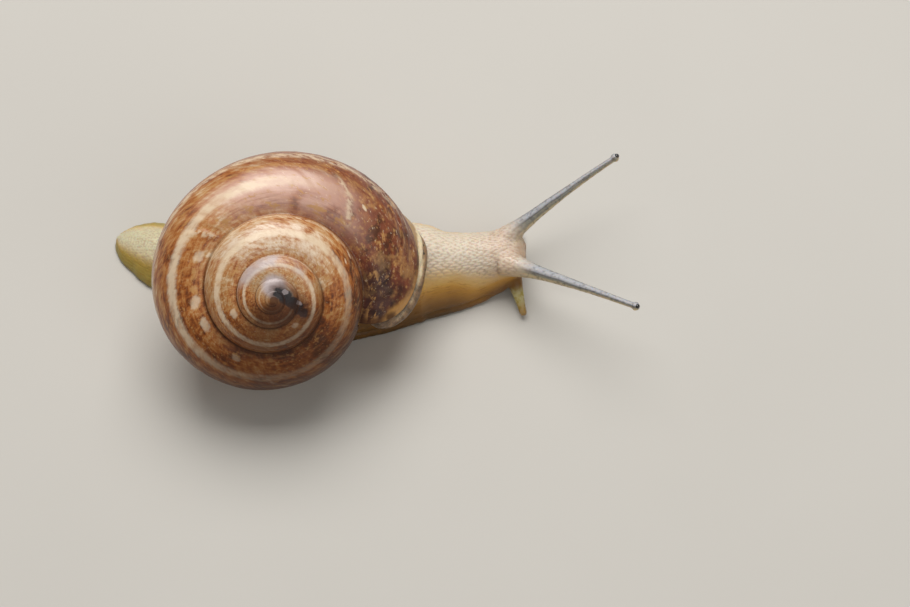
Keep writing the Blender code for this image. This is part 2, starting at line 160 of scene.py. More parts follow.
def grain_cells(along: Array, across: Array, seed: int, loose: float = 0.55) -> tuple[Array, Array]:
    """A sheet of rounded grains: each cell of a staggered grid holds one jittered middle.

    Args:
        along: Coordinate along the rows, in grains.
        across: Coordinate across the rows, in grains.
        seed: Picks another sheet.
        loose: How far a middle may stray along its row, in grains.

    Returns:
        Distance to the nearest middle, and how much further the second is, which is 0 in the furrows.
    """
    first, second = np.full(along.shape, 9.0), np.full(along.shape, 9.0)
    for down, step in np.ndindex(3, 3):
        row = np.floor(across) + down - 1
        shift = 0.5 * (row % 2)
        cell = np.floor(along - shift) + step - 1
        x = cell + shift + 0.5 + loose * (hashed((cell, row), seed) - 0.5)
        y = row + 0.5 + 0.6 * loose * (hashed((cell, row), seed + 1) - 0.5)
        apart = np.hypot(along - x, across - y)
        second = np.minimum(second, np.maximum(first, apart))
        first = np.minimum(first, apart)
    return first, second - first


def corners_of(grid: Array) -> Array:
    """The values at the four corners of each cell of a grid, one row for each cell."""
    return np.stack([grid[:-1, :-1], grid[:-1, 1:], grid[1:, 1:], grid[1:, :-1]], axis=-1).reshape(-1, 4)


# --- Meshes ---


@dataclass
class Surface:
    """Points of a mesh that is being made, and its faces as rows of four or of three points."""

    points: Array
    quads: Array
    triangles: Array

    @staticmethod
    def tube(rings: Array) -> Surface:
        """A profile carried along a path, closed by a fan at each end, with its faces outwards.

        Args:
            rings: Points as (rings, sides, 3), each ring in the same order.

        Returns:
            The tube.
        """
        count, sides = rings.shape[:2]
        number = np.arange(count * sides).reshape(count, sides)
        quads = corners_of(np.concatenate([number, number[:, :1]], axis=1))
        points = np.concatenate([rings.reshape(-1, 3), rings[[0, -1]].mean(axis=1)])
        after = np.roll(number, -1, axis=1)
        tips = count * sides + np.array([[0], [1]]) + np.zeros((1, sides), int)
        fans = np.stack([[after[0], number[-1]], [number[0], after[-1]], tips], axis=-1).reshape(-1, 3)
        corners = points[np.concatenate([fans, quads[:, :3], quads[:, [0, 2, 3]]])]
        if np.linalg.det(corners - points.mean(axis=0)).sum() < 0:
            quads, fans = quads[:, ::-1], fans[:, ::-1]
        return Surface(points, quads, fans)

    def to_object(self, name: str, scale: float = MM) -> Object:
        """Puts the surface into a new smooth object at the origin.

        Args:
            name: Name of the object.
            scale: Metres to one unit of the points.

        Returns:
            The linked object.
        """
        mesh = bpy.data.meshes.new(name)
        faces = [*self.quads.tolist(), *self.triangles.tolist()]
        mesh.from_pydata((self.points * scale).tolist(), [], faces)
        mesh.shade_smooth()
        made = bpy.data.objects.new(name, mesh)
        bpy.context.scene.collection.objects.link(made)
        return made


def read_rows(items: bpy.types.bpy_prop_collection, key: str, width: int = 3, kind: type = float) -> Array:
    """Reads one property of every item of a mesh.

    Args:
        items: Vertices, vertex normals or edges.
        key: Name of the property.
        width: Numbers in it.
        kind: Whether they are float or int.

    Returns:
        The numbers as (count, width).
    """
    rows = np.empty(len(items) * width, np.float32 if kind is float else np.int32)
    items.foreach_get(key, rows)
    return rows.reshape(-1, width).astype(kind)


def write_points(mesh: Mesh, points: Array) -> None:
    """Moves the mesh's vertices to the points given."""
    mesh.vertices.foreach_set("co", points.astype(np.float32).ravel())
    mesh.update()


def modified(piece: Object, kind: str, **settings: object) -> Mesh:
    """Applies one modifier to a piece.

    Args:
        piece: The piece, which gets the mesh that the modifier makes.
        kind: Blender's type name of the modifier.
        settings: Its properties.

    Returns:
        The new mesh.
    """
    step = piece.modifiers.new(kind.lower(), kind)
    for name, value in settings.items():
        setattr(step, name, value)
    bpy.context.view_layer.update()
    graph = bpy.context.evaluated_depsgraph_get()
    piece.data = bpy.data.meshes.new_from_object(piece.evaluated_get(graph))
    piece.modifiers.clear()
    return piece.data


def relaxed(points: Array, edges: Array, pull: Array | float, rounds: int) -> Array:
    """Draws each point towards the mean of its neighbours, again and again.

    Args:
        points: Rows of numbers, one for each point.
        edges: Pairs of point numbers.
        pull: Share of the way that a point goes in one round, for each point or for all.
        rounds: How many times.

    Returns:
        The relaxed rows.
    """
    one, two = edges.T
    degree = np.bincount(edges.ravel())[:, None]
    pull, count = np.broadcast_to(pull, len(points))[:, None], len(points)
    for _ in range(rounds):
        total = [np.bincount(one, c[two], count) + np.bincount(two, c[one], count) for c in points.T]
        points = points + pull * (np.stack(total, axis=-1) / degree - points)
    return points


# --- Shader maths ---


def joined(operation: str, swapped: bool = False) -> Callable[[Sock, Value], Sock]:
    """An operator of Sock.

    Args:
        operation: What its Math node does.
        swapped: Whether the other value comes first.

    Returns:
        The method.
    """

    def method(self: Sock, other: Value) -> Sock:
        """This socket and another value through one Math node."""
        return self.paint.maths(operation, *((other, self) if swapped else (self, other)))

    return method


@dataclass
class Sock:
    """An output socket of one number, which can be added, multiplied and compared like a number."""

    paint: Paint
    socket: NodeSocket

    __add__ = __radd__ = joined("ADD")
    __mul__ = __rmul__ = joined("MULTIPLY")
    __sub__ = joined("SUBTRACT")
    __rsub__ = joined("SUBTRACT", True)
    __pow__ = joined("POWER")
    __truediv__ = joined("DIVIDE")

    def __abs__(self) -> Sock:
        """Size without sign."""
        return self.paint.maths("ABSOLUTE", self)

    def step(self, low: float, high: float) -> Sock:
        """0 below low and 1 above high, smoothly between them. With low above high it falls.

        Args:
            low: Value that gives 0.
            high: Value that gives 1.

        Returns:
            The mapped value.
        """
        inputs = {"Value": self, "From Min": low, "From Max": high}
        made = self.paint.node("MapRange", {"interpolation_type": "SMOOTHSTEP"}, inputs)
        return Sock(self.paint, made.outputs[0])

    def near(self, middle: float, reach: float, core: float) -> Sock:
        """1 within core of a middle and 0 beyond reach of it, smoothly between them."""
        return abs(self - middle).step(reach, core)


Value = Sock | float
Tint = Colour | NodeSocket


class Paint:
    """One material being made: its nodes, and the colour that has been laid so far."""

    def __init__(self, name: str) -> None:
        """Starts an empty material."""
        self.colour: Tint = (0.0, 0.0, 0.0)
        self.material = bpy.data.materials.new(name)
        self.material.use_nodes = True
        self.tree = self.material.node_tree
        self.tree.nodes.clear()

    def node(self, kind: str, settings: dict[str, object], values: dict[str | int, object]) -> bpy.types.Node:
        """Adds any node.

        Args:
            kind: Blender's type name, without its leading ShaderNode.
            settings: Properties, set first.
            values: What each input gets: a number, a tuple, a Sock or a socket to link.

        Returns:
            The new node.
        """
        made = self.tree.nodes.new(f"ShaderNode{kind}")
        for name, setting in settings.items():
            setattr(made, name, setting)
        for name, value in values.items():
            value = value.socket if isinstance(value, Sock) else value
            if isinstance(value, NodeSocket):
                self.tree.links.new(value, made.inputs[name])
            else:
                made.inputs[name].default_value = value
        return made

    def ramp(self, value: Sock, *stops: tuple[float, Colour]) -> NodeSocket:
        """Colours along a value.

        Args:
            value: Place on the ramp, from 0 to 1.
            stops: Places and their colours, smoothly blended.

        Returns:
            The colour.
        """
        made = self.node("ValToRGB", {}, {0: value})
        made.color_ramp.interpolation = "B_SPLINE"
        for _ in stops[2:]:
            made.color_ramp.elements.new(0.5)
        for element, (place, colour) in zip(made.color_ramp.elements, stops):
            element.position, element.color = place, (*colour, 1.0)
        return made.outputs[0]

    def maths(self, operation: str, *values: Value) -> Sock:
        """A Math node of one operation on up to three values."""
        return Sock(self, self.node("Math", {"operation": operation}, dict(enumerate(values))).outputs[0])

    def greatest(self, *values: Sock) -> Sock:
        """The greatest of several values."""
        return reduce(lambda whole, one: self.maths("MAXIMUM", whole, one), values)

    def attribute(self, name: str) -> Sock:
        """A number stored on the piece's points."""
        return Sock(self, self.node("Attribute", {"attribute_name": name}, {}).outputs["Fac"])

    def uv(self, name: str) -> tuple[Sock, Sock]:
        """The two coordinates of one of the piece's UV maps."""
        parts = self.node("SeparateXYZ", {}, {0: self.node("UVMap", {"uv_map": name}, {}).outputs[0]})
        return Sock(self, parts.outputs[0]), Sock(self, parts.outputs[1])

    def place(self) -> NodeSocket:
        """Object coordinates, in metres."""
        return self.node("TexCoord", {}, {}).outputs["Object"]

    def vector(self, x: Value, y: Value, z: Value = 0.0) -> NodeSocket:
        """A vector of three values."""
        return self.node("CombineXYZ", {}, {0: x, 1: y, 2: z}).outputs[0]

    def distance(self, *point: float) -> Sock:
        """Distance from a point given in millimetres, in millimetres.

        Args:
            point: Its three coordinates.

        Returns:
            The distance.
        """
        values = {0: self.place(), 1: tuple(MM * c for c in point)}
        made = self.node("VectorMath", {"operation": "DISTANCE"}, values)
        return Sock(self, made.outputs["Value"]) * (1 / MM)

    def spots(self, spots: tuple[Point4, ...], ragged: Sock, swell: float = 1.0) -> Sock:
        """1 inside any of some round spots with swollen radii and roughened edges, and 0 outside."""
        found = [(self.distance(*p) + ragged).step(r * swell * 1.25, r * 0.75) for *p, r in spots]
        return self.greatest(*found)

    def noise(self, at: NodeSocket, scale: float, detail: float = 3.0, rough: float = 0.55) -> Sock:
        """Fractal noise about 0.5, with scale cells to one unit of the coordinates."""
        values = {"Vector": at, "Scale": scale, "Detail": detail, "Roughness": rough}
        return Sock(self, self.node("TexNoise", {}, values).outputs[0])

    def cells(self, at: NodeSocket, scale: float) -> Sock:
        """Distance to the nearest of scattered points, in cells."""
        return Sock(self, self.node("TexVoronoi", {}, {"Vector": at, "Scale": scale}).outputs["Distance"])

    def mix(self, under: Tint, over: Tint, factor: Value) -> NodeSocket:
        """Two colours blended: under at factor 0, over at factor 1."""
        sides = {i: (*c, 1.0) if isinstance(c, tuple) else c for i, c in ((6, under), (7, over))}
        return self.node("Mix", {"data_type": "RGBA"}, {"Factor": factor, **sides}).outputs[2]

    def lay(self, over: Tint, factor: Value) -> None:
        """Blends a colour over the one that the material has so far."""
        self.colour = self.mix(self.colour, over, factor)

    def finish(self, height: Value = 0, depth_mm: float = 0, tilt: float = 0, **values: object) -> Material:
        """Ends the material in a Principled shader with the laid colour.

        Args:
            height: Fine relief from 0 to 1.
            depth_mm: What 1 stands for, or 0 for no relief.
            tilt: How far the relief tilts the normal.
            values: Its other inputs, with underscores for the spaces of their names.

        Returns:
            The finished material.
        """
        inputs = {"Base Color": self.colour, **{name.replace("_", " "): v for name, v in values.items()}}
        if depth_mm:
            relief = {"Height": height, "Distance": depth_mm * MM, "Strength": tilt}
            inputs["Normal"] = self.node("Bump", {}, relief).outputs[0]
        shader = self.node("BsdfPrincipled", {}, inputs)
        self.node("OutputMaterial", {}, {"Surface": shader.outputs[0]})
        return self.material


# --- Finishes ---


class Mark(Enum):
    """What the skin's points carry for its finish, under the name of each."""

    BACK, GRAIN, ALONG, BROW, COLLAR, RIM, TURNED, FEELER, STRIPE, SHADE, UNDER, PALP, SPOT, WET = range(14)


@dataclass(frozen=True)
class ShellFinish:
    """Satin chestnut shell: growth streaks from umber to tan, a cream spiral band, scars and a worn tip.

    A scar is its turn, its lowest and highest share and its strength. A patch is its age and share, its half
    sizes in turns and shares, and its strength. A spot is its middle and radius in millimetres.
    """

    umber: Colour = (0.06, 0.019, 0.006)
    chestnut: Colour = (0.19, 0.047, 0.01)
    orange: Colour = (0.4, 0.122, 0.02)
    tan: Colour = (0.5, 0.262, 0.088)
    cream: Colour = (0.76, 0.61, 0.43)
    plum: Colour = (0.165, 0.042, 0.026)
    olive: Colour = (0.23, 0.13, 0.05)
    amber: Colour = (0.48, 0.25, 0.06)
    rose: Colour = (0.63, 0.395, 0.32)
    pearl: Colour = (0.8, 0.67, 0.54)
    lilac: Colour = (0.5, 0.43, 0.44)
    black: Colour = (0.01, 0.008, 0.01)
    ground_stops: tuple[float, ...] = (0.22, 0.38, 0.52, 0.68, 0.86)
    band_share: float = 0.147
    band_half_width: float = 0.021
    scars: tuple[Point4, ...] = ((0.107, 0.05, 0.21, 0.62), (0.368, 0.02, 0.14, 0.7), (0.7, 0.1, 0.3, 0.35))
    patches: tuple[tuple[float, ...], ...] = (
        (0.415, 0.05, 0.012, 0.022, 0.8), (0.508, 0.044, 0.013, 0.024, 0.8), (0.56, 0.04, 0.015, 0.02, 0.8),
        (0.655, 0.06, 0.01, 0.016, 0.6), (1.55, 0.055, 0.018, 0.026, 0.8), (1.846, 0.06, 0.016, 0.022, 0.7),
        (0.08, 0.155, 0.004, 0.008, 1.0), (0.992, 0.268, 0.006, 0.012, 0.9), (1.015, 0.2, 0.004, 0.008, 0.9),
    )
    nucleus: Point = (-0.1, -6.1, 18.0)
    worn_spots: tuple[Point4, ...] = (
        (0.35, -6.75, 17.65, 0.42), (0.8, -6.95, 17.5, 0.62), (1.25, -7.12, 17.3, 0.6),
        (1.7, -7.35, 17.00, 0.54), (2.05, -7.6, 16.6, 0.56), (2.4, -7.9, 16.2, 0.58),
        (2.75, -8.1, 15.85, 0.46),
    )
    glint_spots: tuple[Point4, ...] = ((2.35, -7.3, 16.35, 0.2), (1.05, -6.6, 17.6, 0.2))

    def build(self) -> Material:
        """Paints the shell by the age in turns and the share of the rib in its UV map.

        Returns:
            The material.
        """
        paint = Paint("shell_finish")
        lay, noise, here = paint.lay, paint.noise, paint.place()
        age, share = paint.uv(WHORL_MAP)

        def grown(turn: float, rib: float, layer: float = 0, detail: float = 3, rough: float = 0.55) -> Sock:
            """Noise that follows the growth, with so many cells to a turn and to the rib."""
            return noise(paint.vector(age * turn, share * rib, layer), 1.0, detail, rough)

        side, below = (paint.maths("COSINE", (age - turn) * (2 * math.pi)) for turn in (0.7, 0.75))
        streaks, blocks = grown(150, 16, 0, 4, 0.6), grown(58, 34, 4, 4, 0.62)
        flecks, clouds = grown(88, 46, 3, 4, 0.68), noise(here, 330, 4)
        spirals, fine = grown(22, 95), grown(420, 12)
        grit, patchy = noise(here, 1500, 3, 0.6), noise(here, 420, 4, 0.65)
        wavy = share + (grown(9, 12) - 0.5) * 0.022

        # Ground: streaks, blocks and clouds together pick a brown.
        tone = streaks * 0.4 + blocks * 0.8 + clouds * 0.85 + spirals * 0.42 - 0.745
        # The side term is painted light and shade, partly the shell's own colour: lighter on the upper side
        # and darker on the lower, more on the older whorls.
        tone = tone - side * (age.step(0.9, 1.1) * 0.05 + 0.04) - age.step(0.17, 0.04) * 0.04
        tone = tone - age.step(0.07, -0.03) * 0.1 + age.step(0.97, 1.1) * 0.075
        tone = tone + age.near(0.32, 0.17, 0.08) * (share.step(0.19, 0.12) * 0.05 + 0.045)
        tone = tone - age.near(0.82, 0.24, 0.06) * 0.07
        browns = (self.umber, self.chestnut, self.orange, self.tan, self.cream)
        paint.colour = paint.ramp(tone, *zip(self.ground_stops, browns))

        # Broad tints: the young shell by the mouth with painted shade in its notch, a painted highlight
        # behind it, a painted sheen on the whorl before, painted shade low on the last whorl, and the inner
        # whorls.
        lay(self.plum, age.step(0.33, 0.06) * (clouds * 0.7 + streaks * 0.5).step(0.42, 0.66) * 0.8)
        dust = paint.cells(here, 1700).step(0.34, 0.16) * age.step(0.24, 0.08)
        lay(self.tan, dust * blocks.step(0.4, 0.6) * 0.75)
        lay(self.tan, age.step(0.2, 0.05) * patchy.step(0.53, 0.66) * 0.6)
        lay(self.umber, age.step(0.2, 0.05) * patchy.step(0.47, 0.36) * 0.8)
        # Painted shade, partly the shell's own dark colour: near black in the notch by the mouth, just below
        # the seam.
        notch_shade = (abs(share - 0.055) + clouds * 0.06 - 0.03).step(0.085, 0.035)
        lay(self.black, age.step(0.05, 0.0) * notch_shade * 0.72)
        # Painted highlight: a rose tint where the broad highlight lies on the last whorl, with plum lines in
        # it.
        highlight_tint = age.near(0.205, 0.16, 0.05) * share.near(0.11, 0.125, 0.05)
        lay(self.rose, highlight_tint * (clouds.step(0.26, 0.5) * 0.55 + 0.27))
        lay(self.plum, highlight_tint * grown(14, 75, 2, 3, 0.6).step(0.46, 0.66) * share.step(0.13, 0.08) * 0.42)
        # Painted sheen: pearl on the upper side of the whorl before the last, where its highlight lies.
        sheen = age.near(1.225, 0.19, 0.06) * share.step(0.28, 0.2) * share.step(0.01, 0.05)
        lay(self.pearl, sheen * (clouds * 0.5 + blocks * 0.5).step(0.36, 0.58) * 0.65)
        # Painted shade: umber low on the outer edge of the last whorl, on its lower side.
        lay(self.umber, share.step(0.175, 0.27) * side.step(0.0, 0.8) * age.step(1.0, 0.9) * 0.8)
        lay(self.olive, age.step(1.02, 1.9) * clouds.step(0.4, 0.66) * 0.55)
        lay(self.tan, share.step(0.36, 0.55) * 0.5)

        # Flecks, and the rows and edges that they gather in.
        fields = noise(here, 240, 2).step(0.36, 0.6) * 0.75 + 0.25
        mottle = flecks.step(0.555, 0.64) * fields
        lay(self.tan, mottle * 0.85)
        near_mouth = age.step(0.3, 0.05) * 0.45 + age.step(0.9, 1.1) * 0.35 + 0.25
        lay(self.cream, grown(150, 75, 7, 3, 0.7).step(0.61, 0.67) * fields * near_mouth)
        # Painted shade: umber on the older whorls' edge just above the seam, strongest on the lower side.
        lay(self.umber, share.step(0.268, 0.305) * age.step(0.9, 1.05) * (side * 0.5 + 0.5) * 0.85)
        edge_pale = wavy.near(0.292, 0.026, 0.01) * (side * -0.5 + 0.5).step(0.35, 0.9)
        lay(self.cream, edge_pale * flecks.step(0.4, 0.56) * 0.65)
        lay(self.tan, wavy.near(0.225, 0.014, 0.004) * streaks.step(0.4, 0.6) * 0.5)
        lay(self.tan, grown(40, 30, 9, 3, 0.6).step(0.53, 0.62) * wavy.near(0.046, 0.034, 0.01) * 0.8)

        # The band, the scars and the pale patches.
        ragged = abs(wavy - self.band_share) + streaks * 0.03 + flecks * 0.022 - 0.026
        band = ragged.step(self.band_half_width * 1.55, self.band_half_width * 0.45)
        broken = grown(52, 24, 5, 4, 0.65).step(0.36, 0.56)
        # The band is painted brighter on the lit upper left of the last whorl, which is painted light, and on
        # the older whorls.
        lit = age.near(0.4, 0.36, 0.08) * 0.3 + age.step(0.95, 1.15) * 0.25 + 0.5
        faded = age.step(0.1, 0.27) * (1 - age.step(3.0, 3.7) * 0.6)
        lay(self.cream, band * (broken * 0.45 + 0.62 - age.near(0.8, 0.3, 0.08) * 0.3) * faded * lit)
        for turn, low, high, strength in self.scars:
            wobble = age + (noise(paint.vector(share * 55, turn), 1, 4, 0.7) - 0.5) * 0.013
            reach = share.step(low - 0.01, low + 0.02) * share.step(high + 0.02, high - 0.02)
            scar = wobble.near(turn, 0.0095, 0.001) * reach * (flecks + grit * 0.4).step(0.62, 0.76)
            lay(self.cream, scar * strength)
        for born, at, long, wide, strength in self.patches:
            away = abs((wavy - at) / wide) ** 3 + abs((age - born) / long) ** 3 + flecks * 3 + grit * 1.5
            lay(self.cream, away.step(3.85, 2.25) * strength * 0.85)

        # The worn top with painted glints, painted highlights and shade on the inner whorls, painted shade on
        # the underside and in the seam, and the mouth.
        lit_side = side.step(0.15, -0.75)
        # Painted highlight: lilac on the lit side of the whorl two turns in from the last.
        second_top = age.step(1.95, 2.15) * age.step(3.2, 2.8) * share.step(0.08, 0.16)
        lay(self.lilac, second_top * lit_side * clouds.step(0.34, 0.56) * 0.75)
        # Painted shade: umber clouds on the lower side of the inner whorls.
        lay(self.umber, age.step(1.7, 2.4) * side.step(0.0, 0.9) * clouds.step(0.62, 0.42) * 0.6)
        # The tip's own lilac, painted brighter on its lit side: partly painted light.
        core = (paint.distance(*self.nucleus) + clouds * 1.2 - 0.6).step(1.6, 0.8)
        lay(self.lilac, core * (lit_side * 0.45 + 0.45))
        ragged_edge = grit * 0.9 + clouds * 0.8 - 0.85
        worn = paint.spots(self.worn_spots, ragged_edge)
        lay(self.umber, paint.spots(self.worn_spots, ragged_edge, 2.6) * 0.8)
        lay(self.black, worn * 0.97)
        # Painted glints: small lilac spots on the worn black.
        lay(self.lilac, paint.spots(self.glint_spots, ragged_edge) * 0.5)
        # Painted shade: umber over the lower side of each whorl.
        lay(self.umber, below.step(0.0, 0.95) * 0.66)
        # Painted shade: umber in the seam, stronger on the lower side.
        lay(self.umber, share.step(0.014, 0.002) * (side * 0.25 + 0.6))
        inside = age.near(-0.036, 0.02, 0.008) * share.near(0.16, 0.11, 0.05)
        lay(self.black, inside * clouds.step(0.62, 0.44) * 0.62)
        lip_glow = age.step(-0.046, -0.057) * share.near(0.11, 0.1, 0.04)
        lay(self.amber, lip_glow * patchy.step(0.42, 0.56) * 0.65)
        stained = paint.greatest(clouds.step(0.45, 0.62), share.step(0.12, 0.07))
        lay(paint.mix(self.tan, self.umber, stained), age.step(-0.05, -0.062) * 0.85)
        return paint.finish(
            streaks * 0.7 + blocks * 0.5 + fine * 0.35 + grit * 0.3 - worn * 0.8, 0.05, 0.7,
            Roughness=0.3 + clouds * 0.12 + fine * 0.1 + mottle * 0.12 - worn * 0.12,
            Coat_Weight=0.85 - below.step(-0.5, 0.6) * 0.75,
            Specular_IOR_Level=0.22, Coat_Roughness=0.25, Coat_IOR=1.42,
        )


@dataclass(frozen=True)
class SkinFinish:
    """Moist living skin: cream grains on the back, amber flanks, tan collar and grey-blue feelers."""

    contact_shadow: Colour = (0.085, 0.04, 0.006)
    umber: Colour = (0.23, 0.098, 0.012)
    amber: Colour = (0.56, 0.27, 0.032)
    ochre: Colour = (0.67, 0.41, 0.11)
    tan: Colour = (0.69, 0.5, 0.27)
    cream: Colour = (0.71, 0.632, 0.515)
    furrow: Colour = (0.455, 0.32, 0.22)
    rose: Colour = (0.54, 0.39, 0.3)
    olive: Colour = (0.4, 0.32, 0.075)
    moss: Colour = (0.56, 0.54, 0.33)
    collar_tan: Colour = (0.4, 0.265, 0.145)
    collar_cream: Colour = (0.8, 0.68, 0.46)
    collar_brown: Colour = (0.23, 0.14, 0.078)
    speck: Colour = (0.03, 0.02, 0.015)
    slate: Colour = (0.07, 0.07, 0.072)
    smoke: Colour = (0.235, 0.225, 0.185)
    grey_and_highlight: Colour = (0.42, 0.43, 0.455)
    bone: Colour = (0.62, 0.51, 0.31)
    back_stops: tuple[float, ...] = (0.02, 0.2, 0.37, 0.46, 0.6, 0.76)
    collar_stops: tuple[float, ...] = (0.04, 0.1, 0.22, 0.3, 0.44)

    def build(self) -> Material:
        """Paints the skin by the marks on its points.

        Returns:
            The material.
        """
        paint = Paint("skin_finish")
        lay, mix, here = paint.lay, paint.mix, paint.place()
        mark = [paint.attribute(m.name) for m in Mark]
        back, grain, along, brow, collar, rim, turned, feeler, stripe, shade, under, palp, spot, wet = mark
        clouds, fine = paint.noise(here, 300), paint.noise(here, 2400)

        # Foot, neck and head, from a painted shadow where they meet the floor up to the back.
        high = back + clouds * 0.14 - 0.07 + along.step(19.0, 23.0) * 0.16
        browns = (self.contact_shadow, self.umber, self.amber, self.ochre, self.tan, self.cream)
        paint.colour = paint.ramp(high, *zip(self.back_stops, browns))
        # The tail's olive and moss tint is partly its own colour and partly painted green light.
        tail = along.step(-4.0, -10.0)
        lay(self.olive, tail * high.step(0.72, 0.3) * 0.75)
        lay(self.moss, tail * high.step(0.35, 0.8) * 0.75)
        ahead = along.step(20.0, 25.0) * high.step(0.35, 0.55)
        furrows = (1 - grain.step(0.0, 0.85)) * high.step(0.36, 0.6)
        lay(self.furrow, furrows * (clouds * 0.5 + ahead * 0.35 + 0.28))
        lines = paint.noise(paint.vector(along * 0.9, high * 40), 1, 4, 0.6)
        lay(self.umber, lines.step(0.5, 0.66) * high.step(0.56, 0.4) * 0.42)
        lay(self.rose, ahead * (clouds + fine * 0.3).step(0.44, 0.8) * 0.55)
        lay(self.furrow, brow * (1.0 - clouds * 0.4))

        # The mantle's edge, tan and speckled towards its outer rim, browner and more speckled towards the
        # animal's right.
        rim = rim + clouds * 0.22 + fine * 0.12 - 0.17
        tans = (self.collar_tan, self.collar_cream, self.collar_cream, self.collar_tan, self.collar_brown)
        edge = paint.ramp(rim, *zip(self.collar_stops, tans))
        specks = paint.cells(here, 2100).step(0.42, 0.22) * clouds.step(0.38, 0.48) * rim.step(0.24, 0.36)
        edge = mix(edge, self.speck, specks * 0.9)
        edge = mix(edge, self.collar_brown, turned * (clouds.step(0.36, 0.56) * 0.4 + 0.55))
        stains = paint.noise(here, 1100, 4, 0.65).step(0.4, 0.6)
        lay(mix(edge, self.speck, stains * (turned * 0.45 + 0.1)), collar)

        # The feelers: the upper pair grey with a dark nerve line and a pale streak above it that is partly a
        # painted highlight, the lower pair green with dark tips.
        horn = mix(mix(self.grey_and_highlight, self.slate, stripe), self.smoke, shade)
        horn = mix(mix(horn, self.bone, under * 0.9), self.slate, fine.step(0.48, 0.68) * 0.45)
        green = mix(self.moss, self.olive, fine.step(0.4, 0.6) * 0.5 + 0.4)
        green = mix(green, self.umber, palp.step(0.65, 1.0) * 0.7)
        lay(mix(horn, green, palp.step(0.1, 0.4)), feeler)
        lay(self.speck, spot)
        return paint.finish(
            fine * 0.6 + paint.cells(here, 3800) * 0.4, 0.025, 0.5,
            Roughness=0.44 - fine * 0.12 - feeler * 0.1 - wet * 0.22,
            Coat_Weight=wet * 0.5 + 0.12,
            Specular_IOR_Level=0.32, Coat_Roughness=0.18, Coat_IOR=1.36,
            Subsurface_Weight=0.3, Subsurface_Radius=(1.0, 0.5, 0.22), Subsurface_Scale=0.0009,
        )


@dataclass(frozen=True)
class EyeFinish:
    """Wet black bead with a faint brown depth."""

    black: Colour = (0.006, 0.005, 0.005)
    brown: Colour = (0.035, 0.02, 0.012)

    def build(self) -> Material:
        """The material."""
        paint = Paint("eye_finish")
        clouds = paint.noise(paint.place(), 4000)
        paint.colour = paint.mix(self.black, self.brown, clouds.step(0.45, 0.75))
        return paint.finish(Roughness=0.08 + clouds * 0.08, Coat_Weight=0.8, Coat_Roughness=0.04)


@dataclass(frozen=True)
class FloorFinish:
    """Plain pale floor."""

    pale: Colour = (0.56, 0.545, 0.51)
    shade: Colour = (0.53, 0.515, 0.48)

    def build(self) -> Material:
        """The material."""
        paint = Paint("floor_finish")
        paint.colour = paint.mix(self.pale, self.shade, paint.noise(paint.place(), 30))
        return paint.finish(Roughness=0.75)


# --- Shell ---


